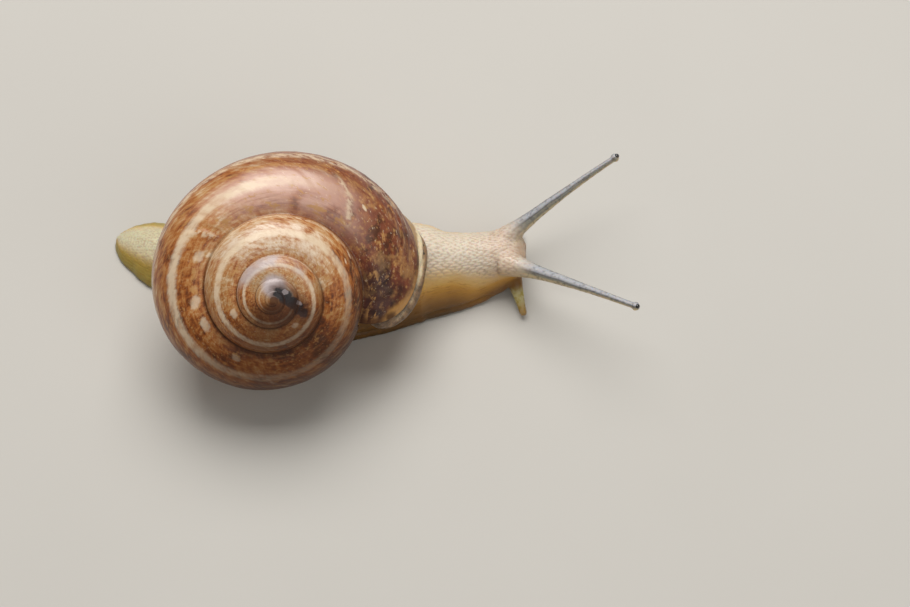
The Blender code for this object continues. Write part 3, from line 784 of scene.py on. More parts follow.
@dataclass
class Coil:
    """The coiled whorl as a function of age, in turns back from the mouth, and share of the rib.

    A rib point is its radius and height in rim radii, and by how many degrees its growth line lags.
    """

    rim_mm: float = 15.25
    growth: float = 0.48
    growth_change: float = 0.042
    swelling: float = 0.024
    swelling_turn: float = 0.56
    swelling_length: float = 0.53
    swelling_fade: float = 0.4
    dome: float = 0.35
    first_turn: float = -0.066
    mouth_drop_mm: float = 0.9
    mouth_drop_turns: float = 0.22
    lip_lean_turns: float = 0.6
    seam_height: float = -0.69
    navel_height: float = -0.9
    depth_turn_mm: float = 50.0
    rise_deg: float = 54.3
    forward_deg: float = 6.2
    apex_mm: Point = (-0.1, -7.5, 17.5)
    collar_lean: float = 0.3
    collar_reach: float = 6.0
    collar_fullest: float = 0.35
    collar_bulge: float = 0.48
    bulge_y: float = 2.9
    bulge_reach: float = 3.3
    held_in: float = 0.86
    held_ends: float = 0.12
    rib: tuple[Point, ...] = (
        (0.59, -0.35, 0.0), (0.69, -0.33, 3.5), (0.86, -0.4, 13.0), (1.000, -0.61, 35.0),
        (0.95, -0.89, 58.0), (0.72, -1.13, 70.0), (0.4, -1.19, 68.0), (0.13, -1.04, 60.0),
    )
    rim_point: int = 3

    def __post_init__(self) -> None:
        """Works out where the rib's points stand along it, its share at the seam, and the shell's axes."""
        steps = np.linalg.norm(np.diff(np.array(self.rib)[:, :2], axis=0), axis=1)
        self.knots = np.concatenate([[0.0], np.cumsum(steps)]) / steps.sum()
        shares = np.linspace(*self.knots[self.rim_point : self.rim_point + 2], 200)
        heights = smooth_through(self.knots, self.rib, shares)[:, 1]
        self.seam_share = float(shares[np.argmin(np.abs(heights - self.seam_height))])
        up, ahead = math.radians(self.rise_deg), math.radians(self.forward_deg)
        rise = np.array([math.cos(up) * math.sin(ahead), -math.cos(up) * math.cos(ahead), math.sin(up)])
        front = unit(np.array([1.0, 0.0, 0.0]) - rise[0] * rise)
        self.axes = np.stack([front, np.cross(rise, front), rise])

    def rim(self, turn: Array) -> Array:
        """Radius of the rim: rim_mm exp(-growth turn - growth_change turn^2), with one faint wave.

        Args:
            turn: Age in turns.

        Returns:
            The radius in millimetres.
        """
        off = turn - self.swelling_turn
        wave = np.cos(2 * np.pi * off / self.swelling_length) * bump_at(off, 0, self.swelling_fade)
        growth = np.exp(-self.growth * turn - self.growth_change * turn**2)
        return self.rim_mm * growth * (1 + self.swelling * wave)

    def lift(self, turn: Array) -> Array:
        """Scale of heights: the rim's radius times its share of the first one to the power dome."""
        return self.rim(turn) * (self.rim(turn) / self.rim_mm) ** self.dome

    def drop(self, turn: Array) -> Array:
        """How far the last stretch of the whorl sinks below the coil's own slope."""
        return self.mouth_drop_mm * ease(turn, self.mouth_drop_turns, self.first_turn)

    def seam(self, turn: Array) -> tuple[Array, Array]:
        """Radius and height of the seam that the whorl at this age hangs from.

        Args:
            turn: Age in turns.

        Returns:
            Both in millimetres, square to the axis and along it.
        """
        radius, height, _ = smooth_through(self.knots, self.rib, self.seam_share)
        sunk = self.drop(turn)
        return radius * self.rim(turn + 1) - 0.25 * sunk, height * self.lift(turn + 1) - sunk

    def lag(self, share: Array) -> Array:
        """How far the growth lines lag behind the seam at a share of the rib, in turns."""
        return smooth_through(self.knots, self.rib, share)[..., 2] / 360

    def lip_turn(self, turn: Array, share: Array) -> Array:
        """Turn of a row of the mesh at a share: rows near the mouth lean back along the lip."""
        return turn + self.lag(share) * ease(1 - (turn - self.first_turn) / self.lip_lean_turns)

    def surface(self, turn: Array, share: Array) -> Array:
        """The shell's surface.

        The rib is scaled by the rim's radius and the lift, and turned about the axis by the age. Its upper
        end is drawn to the seam, (1 - share / rim's share)^2 of the way, and where a younger whorl hangs
        from it, its seam share is drawn to that seam by (share / seam share)^6.

        Args:
            turn: Age in turns.
            share: Share of the rib, 0 at the seam and 1 at the navel.

        Returns:
            Points in millimetres, with one more axis than the arguments.
        """
        turn, share = np.broadcast_arrays(np.asarray(turn, float), np.asarray(share, float))
        rib = smooth_through(self.knots, self.rib, share)
        rim, lift, sunk = self.rim(turn), self.lift(turn), self.drop(turn)
        seam_radius, seam_height = self.seam(turn)
        hold = np.clip(1 - share / self.knots[self.rim_point], 0, None) ** 2
        radius = rib[..., 0] * rim + hold * (seam_radius - self.rib[0][0] * rim)
        height = rib[..., 1] * lift - sunk + hold * (seam_height + sunk - self.rib[0][1] * lift)
        hung = (turn >= 1 + self.first_turn - 1e-9) & (share <= self.seam_share + 1e-9)
        near = np.where(hung, (share / self.seam_share) ** 6, 0.0)
        own_radius, own_height, _ = smooth_through(self.knots, self.rib, self.seam_share)
        next_radius, next_height = self.seam(turn - 1)
        radius = radius + near * (next_radius - own_radius * rim)
        height = height + near * (next_height - own_height * lift + sunk)
        angle = 2 * math.pi * turn
        local = np.stack([radius * np.cos(angle), radius * np.sin(angle), height], axis=-1)
        return local @ self.axes + np.array(self.apex_mm)

    def shares(self, columns: Columns) -> Array:
        """Shares of the rib: evenly from the seam to the next seam, then evenly to the navel."""
        upper = np.linspace(0, self.seam_share, columns[0] + 1)
        return np.concatenate([upper, np.linspace(self.seam_share, 1, columns[1] + 1)[1:]])

    def mouth(self, columns: Columns, depth_mm: float = 0.0) -> tuple[Array, Array, Array]:
        """The mouth's edge: the lip from seam to navel, then back up the older whorl.

        Args:
            columns: Columns above and below the seam share.
            depth_mm: How far inside the whorl the outline is taken.

        Returns:
            Its points, the middle of the free lip, and by how many points each lies from the lip's ends.
        """
        shares, back = self.shares(columns), depth_mm / self.depth_turn_mm
        lip = self.surface(self.lip_turn(np.full(len(shares), self.first_turn), shares) + back, shares)
        wall = self.surface(self.first_turn + 1 + back, shares[columns[0] + 1 :])
        number = np.arange(len(lip) + len(wall))
        return np.concatenate([lip, wall[::-1]]), lip.mean(axis=0), np.minimum(number, sum(columns) - number)

    def facing(self, columns: Columns) -> Array:
        """Unit vector out of the mouth, along the sum of the cross products round its edge.

        Args:
            columns: Columns above and below the seam share.

        Returns:
            The vector.
        """
        loop, middle, _ = self.mouth(columns)
        area = np.cross(loop - middle, np.roll(loop, -1, axis=0) - middle).sum(axis=0)
        return unit(area) * np.sign(area[0])

    def collar_ring(self, share: float, out_mm: float, columns: Columns) -> Array:
        """The mouth's outline drawn in to a share of its width, and moved out of the mouth or into it.

        Where the mouth lies against the older whorl, and towards both ends of the lip, it is held in to
        the share that keeps clear of the wall.

        Args:
            share: Share of the width on the free lip.
            out_mm: How far out of the mouth, or inside it if negative.
            columns: Columns above and below the seam share.

        Returns:
            Points in millimetres as (count, 3).
        """
        loop, middle, from_end = self.mouth(columns, max(-out_mm, 0))
        low = min(share, self.held_in)
        width = low + ease(from_end / (self.held_ends * sum(columns))) * (share - low)
        out = self.leaning(loop, middle, max(out_mm, 0))[:, None] * self.facing(columns)
        ring = middle + width[:, None] * (loop - middle) + out
        bulge = self.collar_bulge * np.clip((share - 0.94) / 0.1, 0, 1) * (loop[:, 0] > middle[0])
        ring[:, 0] += bulge * np.clip(1 - ((ring[:, 1] - self.bulge_y) / self.bulge_reach) ** 2, 0, 1)
        return ring

    def leaning(self, points: Array, middle: Array, out_mm: float) -> Array:
        """How far out of the mouth each point of the mantle's edge stands: less on the animal's right."""
        across = np.minimum((points[:, 1] - middle[1]) / self.collar_reach, self.collar_fullest)
        return out_mm * (1 + self.collar_lean * across)


@dataclass
class Shell:
    """The shell: a fine coil with growth lines, dents and scars, a rounded lip and a closed mouth.

    A ring of the lip is its share of the mouth's width, and how far out of the mouth it lies.
    """

    coil: Coil
    finish: ShellFinish
    last_turn: float = 4.86
    turn_rows: int = 300
    columns: Columns = (38, 34)
    line_depth_mm: float = 0.03
    dent_depth_mm: float = 0.035
    scar_depth_mm: float = 0.09
    worn_depth_mm: float = 0.22
    inset_mm: float = 0.04
    lip_profile: tuple[tuple[float, float], ...] = (
        (0.997, 0.07), (0.987, 0.12), (0.973, 0.12), (0.964, 0.06), (0.96, 0.0), (0.96, -0.7), (0.96, -1.5),
        (0.955, -2.7),
    )

    def carve(self, points: Array, normals: Array, age: Array, share: Array) -> Array:
        """Pushes the surface in and out along its normals, and not at all at the seams.

        Growth lines are smooth noise of the age, sharpened to ridges; dents are noise over the surface;
        each scar is a low ridge with a step on its young side.

        Args:
            points: Points in millimetres.
            normals: Their unit normals.
            age: Age of each point, in turns.
            share: Share of the rib of each point.

        Returns:
            The carved points.
        """
        keep = ease(share, 0.0, 0.03) * ease(np.abs(share - self.coil.seam_share), 0.0, 0.02)
        keep = np.where(share > self.coil.seam_share, ease(share, 1.0, 0.93), keep)
        wander = 0.25 * soft_noise(age * 20, share * 9, seed=3)
        coarse = 1 - np.abs(soft_noise(age * 62 + wander, share * 2.0, seed=5)) * 1.6
        fine = soft_noise(age * 128 + wander, share * 5.0, seed=7)
        dents = soft_noise(age * 55, share * 26, seed=11) + 0.6 * soft_noise(age * 21, share * 11, seed=13)
        lines = self.line_depth_mm * (0.8 * coarse + 0.5 * fine) * (1.0 + 0.9 * ease(age, 0.25, 0.0))
        depth = lines + self.dent_depth_mm * dents - self.inset_mm
        for turn, low, high, strength in self.finish.scars:
            off = age - turn + 0.004 * soft_noise(share * 30, seed=17)
            reach = strength * ease(share, low - 0.02, low + 0.03) * ease(share, high + 0.04, high)
            depth += self.scar_depth_mm * reach * (bump_at(off, 0.0, 0.004) - bump_at(off, -0.009, 0.005))
        for *spot, radius in self.finish.worn_spots:
            depth -= self.worn_depth_mm * bump_at(np.linalg.norm(points - spot, axis=1), 0.0, radius)
        return points + (keep * self.coil.rim(age) / self.coil.rim_mm * depth)[:, None] * normals

    def build(self) -> Object:
        """The shell piece, with its UV map and finish.

        The rows of the last turn reach from seam to navel. The older ones end at the next seam, where they
        share the points of the row one turn younger.

        Returns:
            The piece.
        """
        coil, (above, below), turn_rows = self.coil, self.columns, self.turn_rows
        rows = round((self.last_turn - coil.first_turn) * turn_rows) + 1
        upper = np.arange(rows * (above + 1)).reshape(rows, -1)
        upper[turn_rows:, above] = upper[: rows - turn_rows, 0]
        used, upper = np.unique(upper, return_inverse=True)
        upper = upper.reshape(rows, -1)
        lower = len(used) + np.arange((turn_rows + 1) * below).reshape(-1, below)
        full = np.concatenate([upper[: turn_rows + 1], lower], axis=1)
        shares, turns = coil.shares(self.columns), coil.first_turn + np.arange(rows) / turn_rows
        count = len(used) + lower.size
        points, age, share, grids = np.zeros((count, 3)), np.zeros(count), np.zeros(count), []
        older, last = (upper[turn_rows:], turns[turn_rows:]), (full, turns[: turn_rows + 1])
        for number, turn in (older, last):
            where, at = np.meshgrid(turn, shares[: number.shape[1]], indexing="ij")
            leaning = coil.lip_turn(where, at)
            born = leaning - coil.lag(at)
            points[number], age[number], share[number] = coil.surface(leaning, at), born, at
            grids.append((number, born, at))
        points[upper[:, 0]], share[upper[:, 0]] = coil.surface(turns, np.zeros(rows)), 0.0

        ring = np.concatenate([full[0], full[turn_rows, -1:above:-1]])
        extra = count + np.arange(len(self.lip_profile) * len(ring)).reshape(-1, len(ring))
        lip = np.stack([ring, *extra], axis=1)[[*range(len(ring)), 0]]
        at = np.concatenate([shares, shares[:above:-1], shares[:1]])[:, None]
        inside = coil.first_turn - 0.01
        grids.append((lip, np.full(lip.shape, inside), np.broadcast_to(at, lip.shape)))
        points = np.concatenate([points, *(self.lip_ring(width, out) for width, out in self.lip_profile)])
        top = np.concatenate([upper[-turn_rows - 1 :, 0], upper[-1, 1:above]])
        loops = (lip[-2::-1, -1], top, full[turn_rows::-1, -1])
        navel = np.array([0, 0, coil.navel_height * coil.rim_mm]) @ coil.axes + coil.apex_mm
        middles = np.stack([points[loops[0]].mean(axis=0), points[top].mean(axis=0), navel])
        places = ((inside, 0.5), (self.last_turn, 0.1), (0.4, 1.0))
        maps = [np.stack([corners_of(g), corners_of(a)], axis=-1).reshape(-1, 2) for _, g, a in grids]
        fans = []
        for number, (loop, place) in enumerate(zip(loops, places), len(points)):
            fans.append(np.stack([loop, np.roll(loop, -1), np.full_like(loop, number)], axis=-1))
            maps.append(np.tile(place, (3 * len(loop), 1)))
        quads = np.concatenate([corners_of(number) for number, _, _ in grids])
        points = np.concatenate([points, middles])
        piece = Surface(points, quads, np.concatenate(fans)).to_object("shell_surface")
        layer = piece.data.uv_layers.new(name=WHORL_MAP)
        layer.data.foreach_set("uv", np.concatenate(maps).astype(np.float32).ravel())
        normals = read_rows(piece.data.vertex_normals, "vector")[:count]
        points[:count] = self.carve(points[:count], normals, age, share)
        write_points(piece.data, points * MM)
        piece.data.materials.append(self.finish.build())
        return piece

    def lip_ring(self, width: float, out_mm: float) -> Array:
        """A ring of the rounded lip, or of the wall inside it where out_mm is negative.

        Args:
            width: Share of the mouth's width.
            out_mm: How far out of the mouth it lies.

        Returns:
            Points in millimetres as (count, 3).
        """
        loop, middle, from_end = self.coil.mouth(self.columns, max(-out_mm, 0))
        out = max(out_mm, 0) * ease(from_end / 6)[:, None]
        return middle + width * (loop - middle) + out * self.coil.facing(self.columns)


# --- Flesh ---


@dataclass
class BodyLine:
    """The body's sections along a curved middle line.

    A station is X, Y, half-width where it is widest, half-width of the back, height of the back, height
    of the widest level and height of the belly.
    """

    stations: tuple[tuple[float, ...], ...] = (
        (-17.75, 7.55, 0.55, 0.5, 0.75, 0.15, -0.1), (-17.1, 7.15, 1.75, 1.5, 1.45, 0.25, -0.1),
        (-15.8, 6.6, 2.8, 2.2, 2.15, 0.3, -0.1), (-13.6, 5.7, 3.6, 2.8, 2.8, 0.35, -0.1),
        (-10.00, 3.9, 4.2, 3.3, 3.4, 0.35, -0.1), (-5.00, 1.8, 4.6, 3.6, 4.1, 0.35, -0.1),
        (0.00, 0.55, 4.75, 3.7, 4.7, 0.35, -0.1), (5.00, 0.15, 4.8, 3.8, 5.00, 0.35, -0.1),
        (9.00, 0.95, 4.8, 4.00, 6.2, 0.35, -0.1), (13.00, 2.9, 5.5, 5.00, 8.3, 0.35, -0.1),
        (17.00, 3.2, 4.6, 3.8, 7.1, 0.4, -0.1), (20.3, 3.75, 3.8, 3.3, 6.1, 0.6, -0.1),
        (22.6, 4.00, 3.1, 3.1, 6.00, 2.00, 0.25), (24.2, 4.05, 2.6, 2.7, 5.5, 2.9, 1.1),
        (25.2, 4.05, 1.4, 1.5, 4.5, 3.2, 2.2),
    )
    belly_flatness: int = 4
    samples: int = 600

    def at(self, share: Array) -> Array:
        """Station values at shares of the body's length, smoothly between the stations given."""
        return smooth_through(np.linspace(0, 1, len(self.stations)), self.stations, share)

    def left_of(self, share: Array) -> Array:
        """Unit vectors to the animal's left, level with the floor and square to the middle line."""
        ahead = self.at(np.clip(share + 0.01, 0, 1)) - self.at(np.clip(share - 0.01, 0, 1))
        return unit(np.stack([-ahead[..., 1], ahead[..., 0], np.zeros(ahead.shape[:-1])], axis=-1))

    def rings(self, rows: int, sides: int, swell: float) -> Array:
        """Bell-shaped sections: a flat sole, spreading margins and a round back.

        At an angle a round the section, above the widest level the reach is
        back + (sole - back)(1 - sin a)^2, and below it the level falls as 1 - (1 + sin a)^flatness.

        Args:
            rows: Number of sections.
            sides: Points in each.
            swell: Millimetres added all round.

        Returns:
            Points as (rows, sides, 3).
        """
        share = np.linspace(0, 1, rows)
        x, y, sole, back, height, widest, belly = (c[:, None] for c in self.at(share).T)
        sole, back, height, belly = sole + swell, back + swell, height + swell, belly - swell
        angle = 2 * math.pi * np.arange(sides)[None] / sides
        across, up = np.cos(angle), np.sin(angle)
        reach = np.where(up >= 0, back + (sole - back) * (1 - up) ** 2, sole)
        below = np.maximum(widest - (1 - (1 + up) ** self.belly_flatness) * (widest - belly), belly)
        level = np.where(up >= 0, widest + up * (height - widest), below)
        side = self.left_of(share)[:, None, :] * (across * reach)[..., None]
        return side + np.stack(np.broadcast_arrays(x, y, level), axis=-1)

    def place(self, points: Array) -> tuple[Array, Array, Array]:
        """Where each point lies on the body.

        Args:
            points: Skin points in millimetres.

        Returns:
            Distance along the middle line, angle up the section as a share of the way from the margin to
            the middle of the back, and distance from the middle line to the left.
        """
        fine = np.linspace(0, 1, self.samples)
        line = self.at(fine)[:, :2]
        share = np.interp(points[:, 0], line[:, 0], fine)
        x, y, sole, back, height, widest, _ = self.at(share).T
        length = np.concatenate([[0.0], np.cumsum(np.linalg.norm(np.diff(line, axis=0), axis=1))])
        along = np.interp(share, fine, length) + self.stations[0][0]
        off = np.sum((points[:, :2] - np.stack([x, y], axis=-1)) * self.left_of(share)[:, :2], axis=1)
        up = np.clip((points[:, 2] - widest) / (height - widest), 0, 3)
        reach = back + (sole - back) * np.clip(1 - up, 0, 1) ** 2
        return along, np.arctan2(up, np.abs(off) / reach) / (math.pi / 2), off


@dataclass
class Feeler:
    """A tapering feeler on a slightly bowed line, ending in a ball. The long pair has a nerve line."""

    name: str
    root: Point
    tip: Point
    bow: Point
    radii: tuple[tuple[float, float], ...]
    ball: float
    nerve: float | None = None

    def __post_init__(self) -> None:
        """Works out its length, and the share of it that the ball takes."""
        self.length = math.dist(self.root, self.tip)
        self.ball_share = self.ball / self.length

    def line(self, share: Array, bowed: bool = True) -> Array:
        """Points of the middle line: straight from root to tip, plus a half sine of the bow.

        Args:
            share: Shares of the length.
            bowed: Whether to add the bow.

        Returns:
            The points, with one more axis than share.
        """
        share = np.asarray(share, float)[..., None]
        root, tip = np.array(self.root), np.array(self.tip)
        return root + share * (tip - root) + bowed * np.sin(math.pi * share) * np.array(self.bow)

    def radius(self, share: Array) -> Array:
        """Radius at shares of the length: the taper, then the ball, whichever is wider.

        Args:
            share: Shares of the length.

        Returns:
            The radii in millimetres.
        """
        knots, sizes = np.array(self.radii).T
        taper = smooth_through(knots, sizes, np.minimum(share, knots[-1]))[..., 0]
        off = np.clip((share - (1 - self.ball_share)) / self.ball_share, -1, 1)
        ball = self.ball * np.sqrt(1 - off**2)
        return np.where(share < 1 - self.ball_share, np.maximum(taper, ball), ball)

    def rings(self, rows: int, sides: int) -> Array:
        """Circles of so many points square to the line, closer together over the ball.

        Args:
            rows: Number of circles below the ball.
            sides: Points in each.

        Returns:
            Points as (circles, sides, 3).
        """
        over = 1 - self.ball_share * (1 - np.sin(np.linspace(-0.1, 0.49 * math.pi, 9)))
        shares = np.concatenate([np.linspace(0, 1 - 1.2 * self.ball_share, rows), over])
        left, up = self.across(shares)
        angle = (2 * math.pi * np.arange(sides) / sides)[:, None]
        spokes = left[:, None] * np.cos(angle) + up[:, None] * np.sin(angle)
        return self.line(shares)[:, None] + self.radius(shares)[:, None, None] * spokes

    def across(self, share: Array) -> tuple[Array, Array]:
        """Unit vectors to the left of the line and above it, both square to it.

        Args:
            share: Shares of the length.

        Returns:
            Both sets of vectors.
        """
        along = unit(self.line(share + 0.01) - self.line(share - 0.01))
        left = unit(np.cross(UP, along))
        return left, np.cross(along, left)

    def beside(self, points: Array, sooner: float = 0.0) -> tuple[Array, Array, Array, Array]:
        """Finds the feeler's part of the skin.

        Args:
            points: Skin points in millimetres.
            sooner: How much nearer its root it starts, as a share of its length.

        Returns:
            The share of its length beside each point, its radius there, the offset of each point from
            its line, and how far each point belongs to it, from 0 to 1.
        """
        along = (np.array(self.tip) - self.root) / self.length
        drop = 0.0
        for _ in range(3):
            share = ((points - drop - self.root) @ along) / self.length
            drop = self.line(share) - self.line(share, bowed=False)
        offset, radius = points - self.line(share), self.radius(np.clip(share, 0, 1))
        near = ease(np.linalg.norm(offset, axis=1), radius + 0.7, radius + 0.25)
        start = (0.38 if self.nerve is None else 0.15) - sooner
        return share, radius, offset, near * ease(share, start, start + 0.12 + sooner)


def feelers() -> list[Feeler]:
    """Places the four feelers.

    Returns:
        The two long feelers that carry the eyes, then the two short ones beside the mouth.
    """
    long = ((0, 1.47), (0.1, 1.14), (0.18, 0.875), (0.27, 0.695), (0.43, 0.545))
    long += ((0.6, 0.42), (0.8, 0.34), (0.9, 0.31))
    short = ((0, 0.93), (0.35, 0.7), (0.7, 0.45), (0.93, 0.375))
    return [
        Feeler("left", (22.3, 4.9, 4.3), (34.68, 11.97, 10.69), (0.0, 0.14, 0.3), long, 0.455, -0.4),
        Feeler("right", (23.0, 2.65, 4.5), (36.44, -4.95, 10.05), (0.0, 0.02, 0.3), long, 0.455, -0.75),
        Feeler("lower_left", (23.2, 5.2, 2.7), (24.9, 8.1, 0.75), (0.0, 0.0, -0.35), short, 0.375),
        Feeler("lower_right", (23.8, 2.6, 2.7), (25.0, -1.75, 0.75), (0.0, 0.0, -0.35), short, 0.375),
    ]


@dataclass
class Skin:
    """One skin over all the flesh: foot, neck, head, feelers, and the mantle's edge in the shell's mouth.

    A ring of the collar is its share of the mouth's width, and how far out of the mouth it lies.
    """

    coil: Coil
    finish: SkinFinish
    body: BodyLine
    feelers: list[Feeler]
    voxel_mm: float = 0.138
    inset_mm: float = 0.06
    under_shell_mm: float = 0.16
    columns: Columns = (24, 22)
    stalk_share: float = 0.84
    stalk_out_mm: float = 2.2
    stalk_foot: Point = (8.8, 1.2, 2.0)
    stalk_length: float = 8.3
    stalk_width: float = 3.8
    stalk_turn_deg: float = 15.0
    collar_rings: tuple[tuple[float, float], ...] = (
        (0.45, -0.5), (0.86, -0.5), (0.935, -0.3), (0.945, 0.05), (0.975, 0.32), (1.022, 0.85),
        (1.042, 1.58), (1.0, 2.18), (0.84, 2.35), (0.5, 2.3),
    )
    grain_long_mm: float = 0.92
    grain_rows: float = 25.0
    grain_height_mm: float = 0.062
    grained_from: float = 0.44
    collar_depth_mm: float = 2.6
    most_triangles: int = 194000
    gleam_mm: Point = (23.9, 2.3, 6.0)
    spots_mm: tuple[Point, ...] = ((25.3, 8.0, 5.2), (17.9, 4.5, 7.0))

    def stalk(self) -> Surface:
        """The column of flesh from the mouth of the shell down into the foot.

        Each ring lies between the mouth's outline and an oval in the foot, at the mean of its share of the
        way and the eased share.

        Returns:
            The stalk.
        """
        loop, facing = self.coil.mouth(self.columns)[0], self.coil.facing(self.columns)
        middle = loop.mean(axis=0)
        ahead = unit(UP - facing[2] * facing)
        turn = math.radians(self.stalk_turn_deg)
        foot_ahead = np.array([math.cos(turn), math.sin(turn), 0.0])
        angle = np.arctan2((loop - middle) @ np.cross(ahead, facing), (loop - middle) @ ahead)[:, None]
        foot = self.stalk_foot + self.stalk_length * np.cos(angle) * foot_ahead
        foot = foot + self.stalk_width * np.sin(angle) * np.cross(UP, foot_ahead)
        out = self.coil.leaning(loop, middle, self.stalk_out_mm)
        top = middle + self.stalk_share * (loop - middle) + out[:, None] * facing
        share = np.linspace(0, 1, 18)[:, None, None]
        return Surface.tube(top + (0.5 * ease(share) + 0.5 * share) * (foot - top))

    def collar(self) -> Surface:
        """The mantle's edge: the mouth's outline carried out past the lip along a swelling profile.

        Returns:
            The collar.
        """
        count = len(self.collar_rings)
        fine = smooth_through(np.linspace(0, 1, count), self.collar_rings, np.linspace(0, 1, 3 * count))
        return Surface.tube(np.stack([self.coil.collar_ring(*ring, self.columns) for ring in fine]))

    def shell_room(self) -> Object:
        """Makes room for the shell in the flesh.

        Returns:
            A coarse copy of the coil, a little shrunk, so that the flesh ends just under the shell.
        """
        room = Shell(self.coil, ShellFinish(), 4.4, 40, (10, 10), lip_profile=((0.999, 0.0),)).build()
        room.name = "shell_room"
        points = read_rows(room.data.vertices, "co") / MM
        normals = read_rows(room.data.vertex_normals, "vector")
        write_points(room.data, points - self.under_shell_mm * normals)
        return room

    def fused(self) -> Object:
        """Clears body and stalk of the shell, joins collar and feelers and fuses all by a voxel remesh.

        Returns:
            The one piece.
        """
        body = Surface.tube(self.body.rings(150, 72, -self.inset_mm)).to_object("skin", 1.0)
        stalk, room = self.stalk().to_object("stalk", 1.0), self.shell_room()
        for piece in (body, stalk):
            modified(piece, "BOOLEAN", operation="DIFFERENCE", solver="EXACT", object=room)
        others = [stalk, self.collar().to_object("collar", 1.0)]
        others += [Surface.tube(f.rings(60, 28)).to_object(f.name, 1.0) for f in self.feelers]
        with bpy.context.temp_override(active_object=body, selected_editable_objects=[body, *others]):
            bpy.ops.object.join()
        bpy.data.objects.remove(room)
        modified(body, "REMESH", mode="VOXEL", voxel_size=self.voxel_mm, adaptivity=0.0)
        return body

    def build(self) -> Object:
        """Makes the flesh.

        Returns:
            The skin piece: carved, marked, thinned where it is plain, and finished.
        """
        piece = self.fused()
        mesh = piece.data
        self.edges = read_rows(mesh.edges, "vertices", 2, int)
        self.points = relaxed(read_rows(mesh.vertices, "co"), self.edges, 0.5, 3)
        self.fillet()
        write_points(mesh, self.points)
        plain = self.carve(mesh)
        write_points(mesh, self.points.clip(min=FLOOR))
        group = piece.vertex_groups.new(name="plain")
        group.add(np.flatnonzero(plain).tolist(), 1.0, "REPLACE")
        ratio = self.most_triangles / (2 * len(mesh.polygons))
        mesh = modified(piece, "DECIMATE", ratio=ratio, vertex_group=group.name)
        piece.vertex_groups.clear()
        write_points(mesh, read_rows(mesh.vertices, "co").clip(min=FLOOR) * MM)
        mesh.shade_smooth()
        mesh.materials.clear()
        mesh.materials.append(self.finish.build())
        piece.name = mesh.name = "skin"
        return piece

    def fillet(self) -> None:
        """Softens the joins at the feelers' roots and trues the feelers round."""
        roots = np.zeros(len(self.points))
        for feeler in self.feelers:
            at, reach = (0.25, 0.9) if feeler.nerve is None else (0.14, 1.8)
            away = np.linalg.norm(self.points - feeler.line(at), axis=1)
            roots = np.maximum(roots, bump_at(away, 0.0, reach))
        self.points = relaxed(self.points, self.edges, 0.5 * roots, 9)
        for feeler, (share, radius, offset, weight) in [(f, f.beside(self.points)) for f in self.feelers]:
            true = feeler.line(share) + unit(offset) * radius[:, None]
            weight = weight * ease(share, 1 - 0.6 * feeler.ball_share, 1 - 1.1 * feeler.ball_share)
            self.points += weight[:, None] * (true - self.points)

    def carve(self, mesh: Mesh) -> Array:
        """Gives the skin its grains, grooves and folds, and stores its marks on its mesh.

        Args:
            mesh: The skin's mesh, in millimetres.

        Returns:
            Whether each point lies where nothing fine is carved or painted.
        """
        points = self.points
        ahead, left, level = points.T
        along, turn, off = self.body.place(points)
        side = np.sign(off)
        facing, collar = self.coil.facing(self.columns), self.collar_mark()
        out = (points - self.coil.mouth(self.columns)[1]) @ facing
        horn = self.horn_marks()
        bare = (1 - collar) * (1 - horn[Mark.FEELER])

        # Grains on the back, and what the flanks have instead.
        warp = 0.35 * soft_noise(along * 0.7, turn * 4, seed=21)
        row = side * (1 - turn) * self.grain_rows + 0.5 * soft_noise(along * 0.25, turn * 2, seed=22)
        near, gap = grain_cells(along / self.grain_long_mm + warp, row + warp, seed=23)
        grain = ease(gap, 0.0, 0.42) * (1 - 0.35 * ease(near, 0.1, 0.75))
        start = self.grained_from + 0.1 * soft_noise(along * 0.6, side * 7.0, seed=24)
        start = start - 0.16 * ease(along, 20.0, 25.0) - 0.2 * ease(along, 0.0, -6.0)
        start = start - 0.22 * ease(ahead, 22.8, 24.2)
        back = ease(turn, start - 0.1, start + 0.14)
        depth = self.grain_height_mm * (grain - 0.75) * (back * 0.78 + 0.22)
        depth += 0.05 * soft_noise(along * 0.8, turn * 5 + side * 9, seed=25)
        depth += 0.025 * soft_noise(along * 0.5, turn * 30, seed=26) * (1 - back)

        # The groove over the foot's fringe, and the fringe's ripples.
        groove = bump_at(level, 1.15 + 0.12 * soft_noise(along * 0.6, seed=27), 0.16) * (turn < 0.6)
        depth -= 0.12 * groove * ease(along, 24.5, 22.5) * ease(along, -3.0, 3.0)
        ripple = soft_noise(along * 1.9, side * 5.0, seed=28) * ease(level, 1.35, 0.9)
        depth += 0.06 * ripple * ease(level, 0.0, 0.3) + self.head_depth(along, off)

        # The mantle's edge has soft wrinkles and a groove, the feelers fine pimples.
        depth = depth * bare - 0.16 * bump_at(out, 0.95, 0.2) * collar
        depth += 0.03 * soft_noise(*points.T * 1.6, seed=31) * collar * ease(out, 0.0, 0.4)
        depth += 0.02 * soft_noise(*points.T * 5, seed=33) * horn[Mark.FEELER]
        depth *= ease(level, 0.02, 0.25)

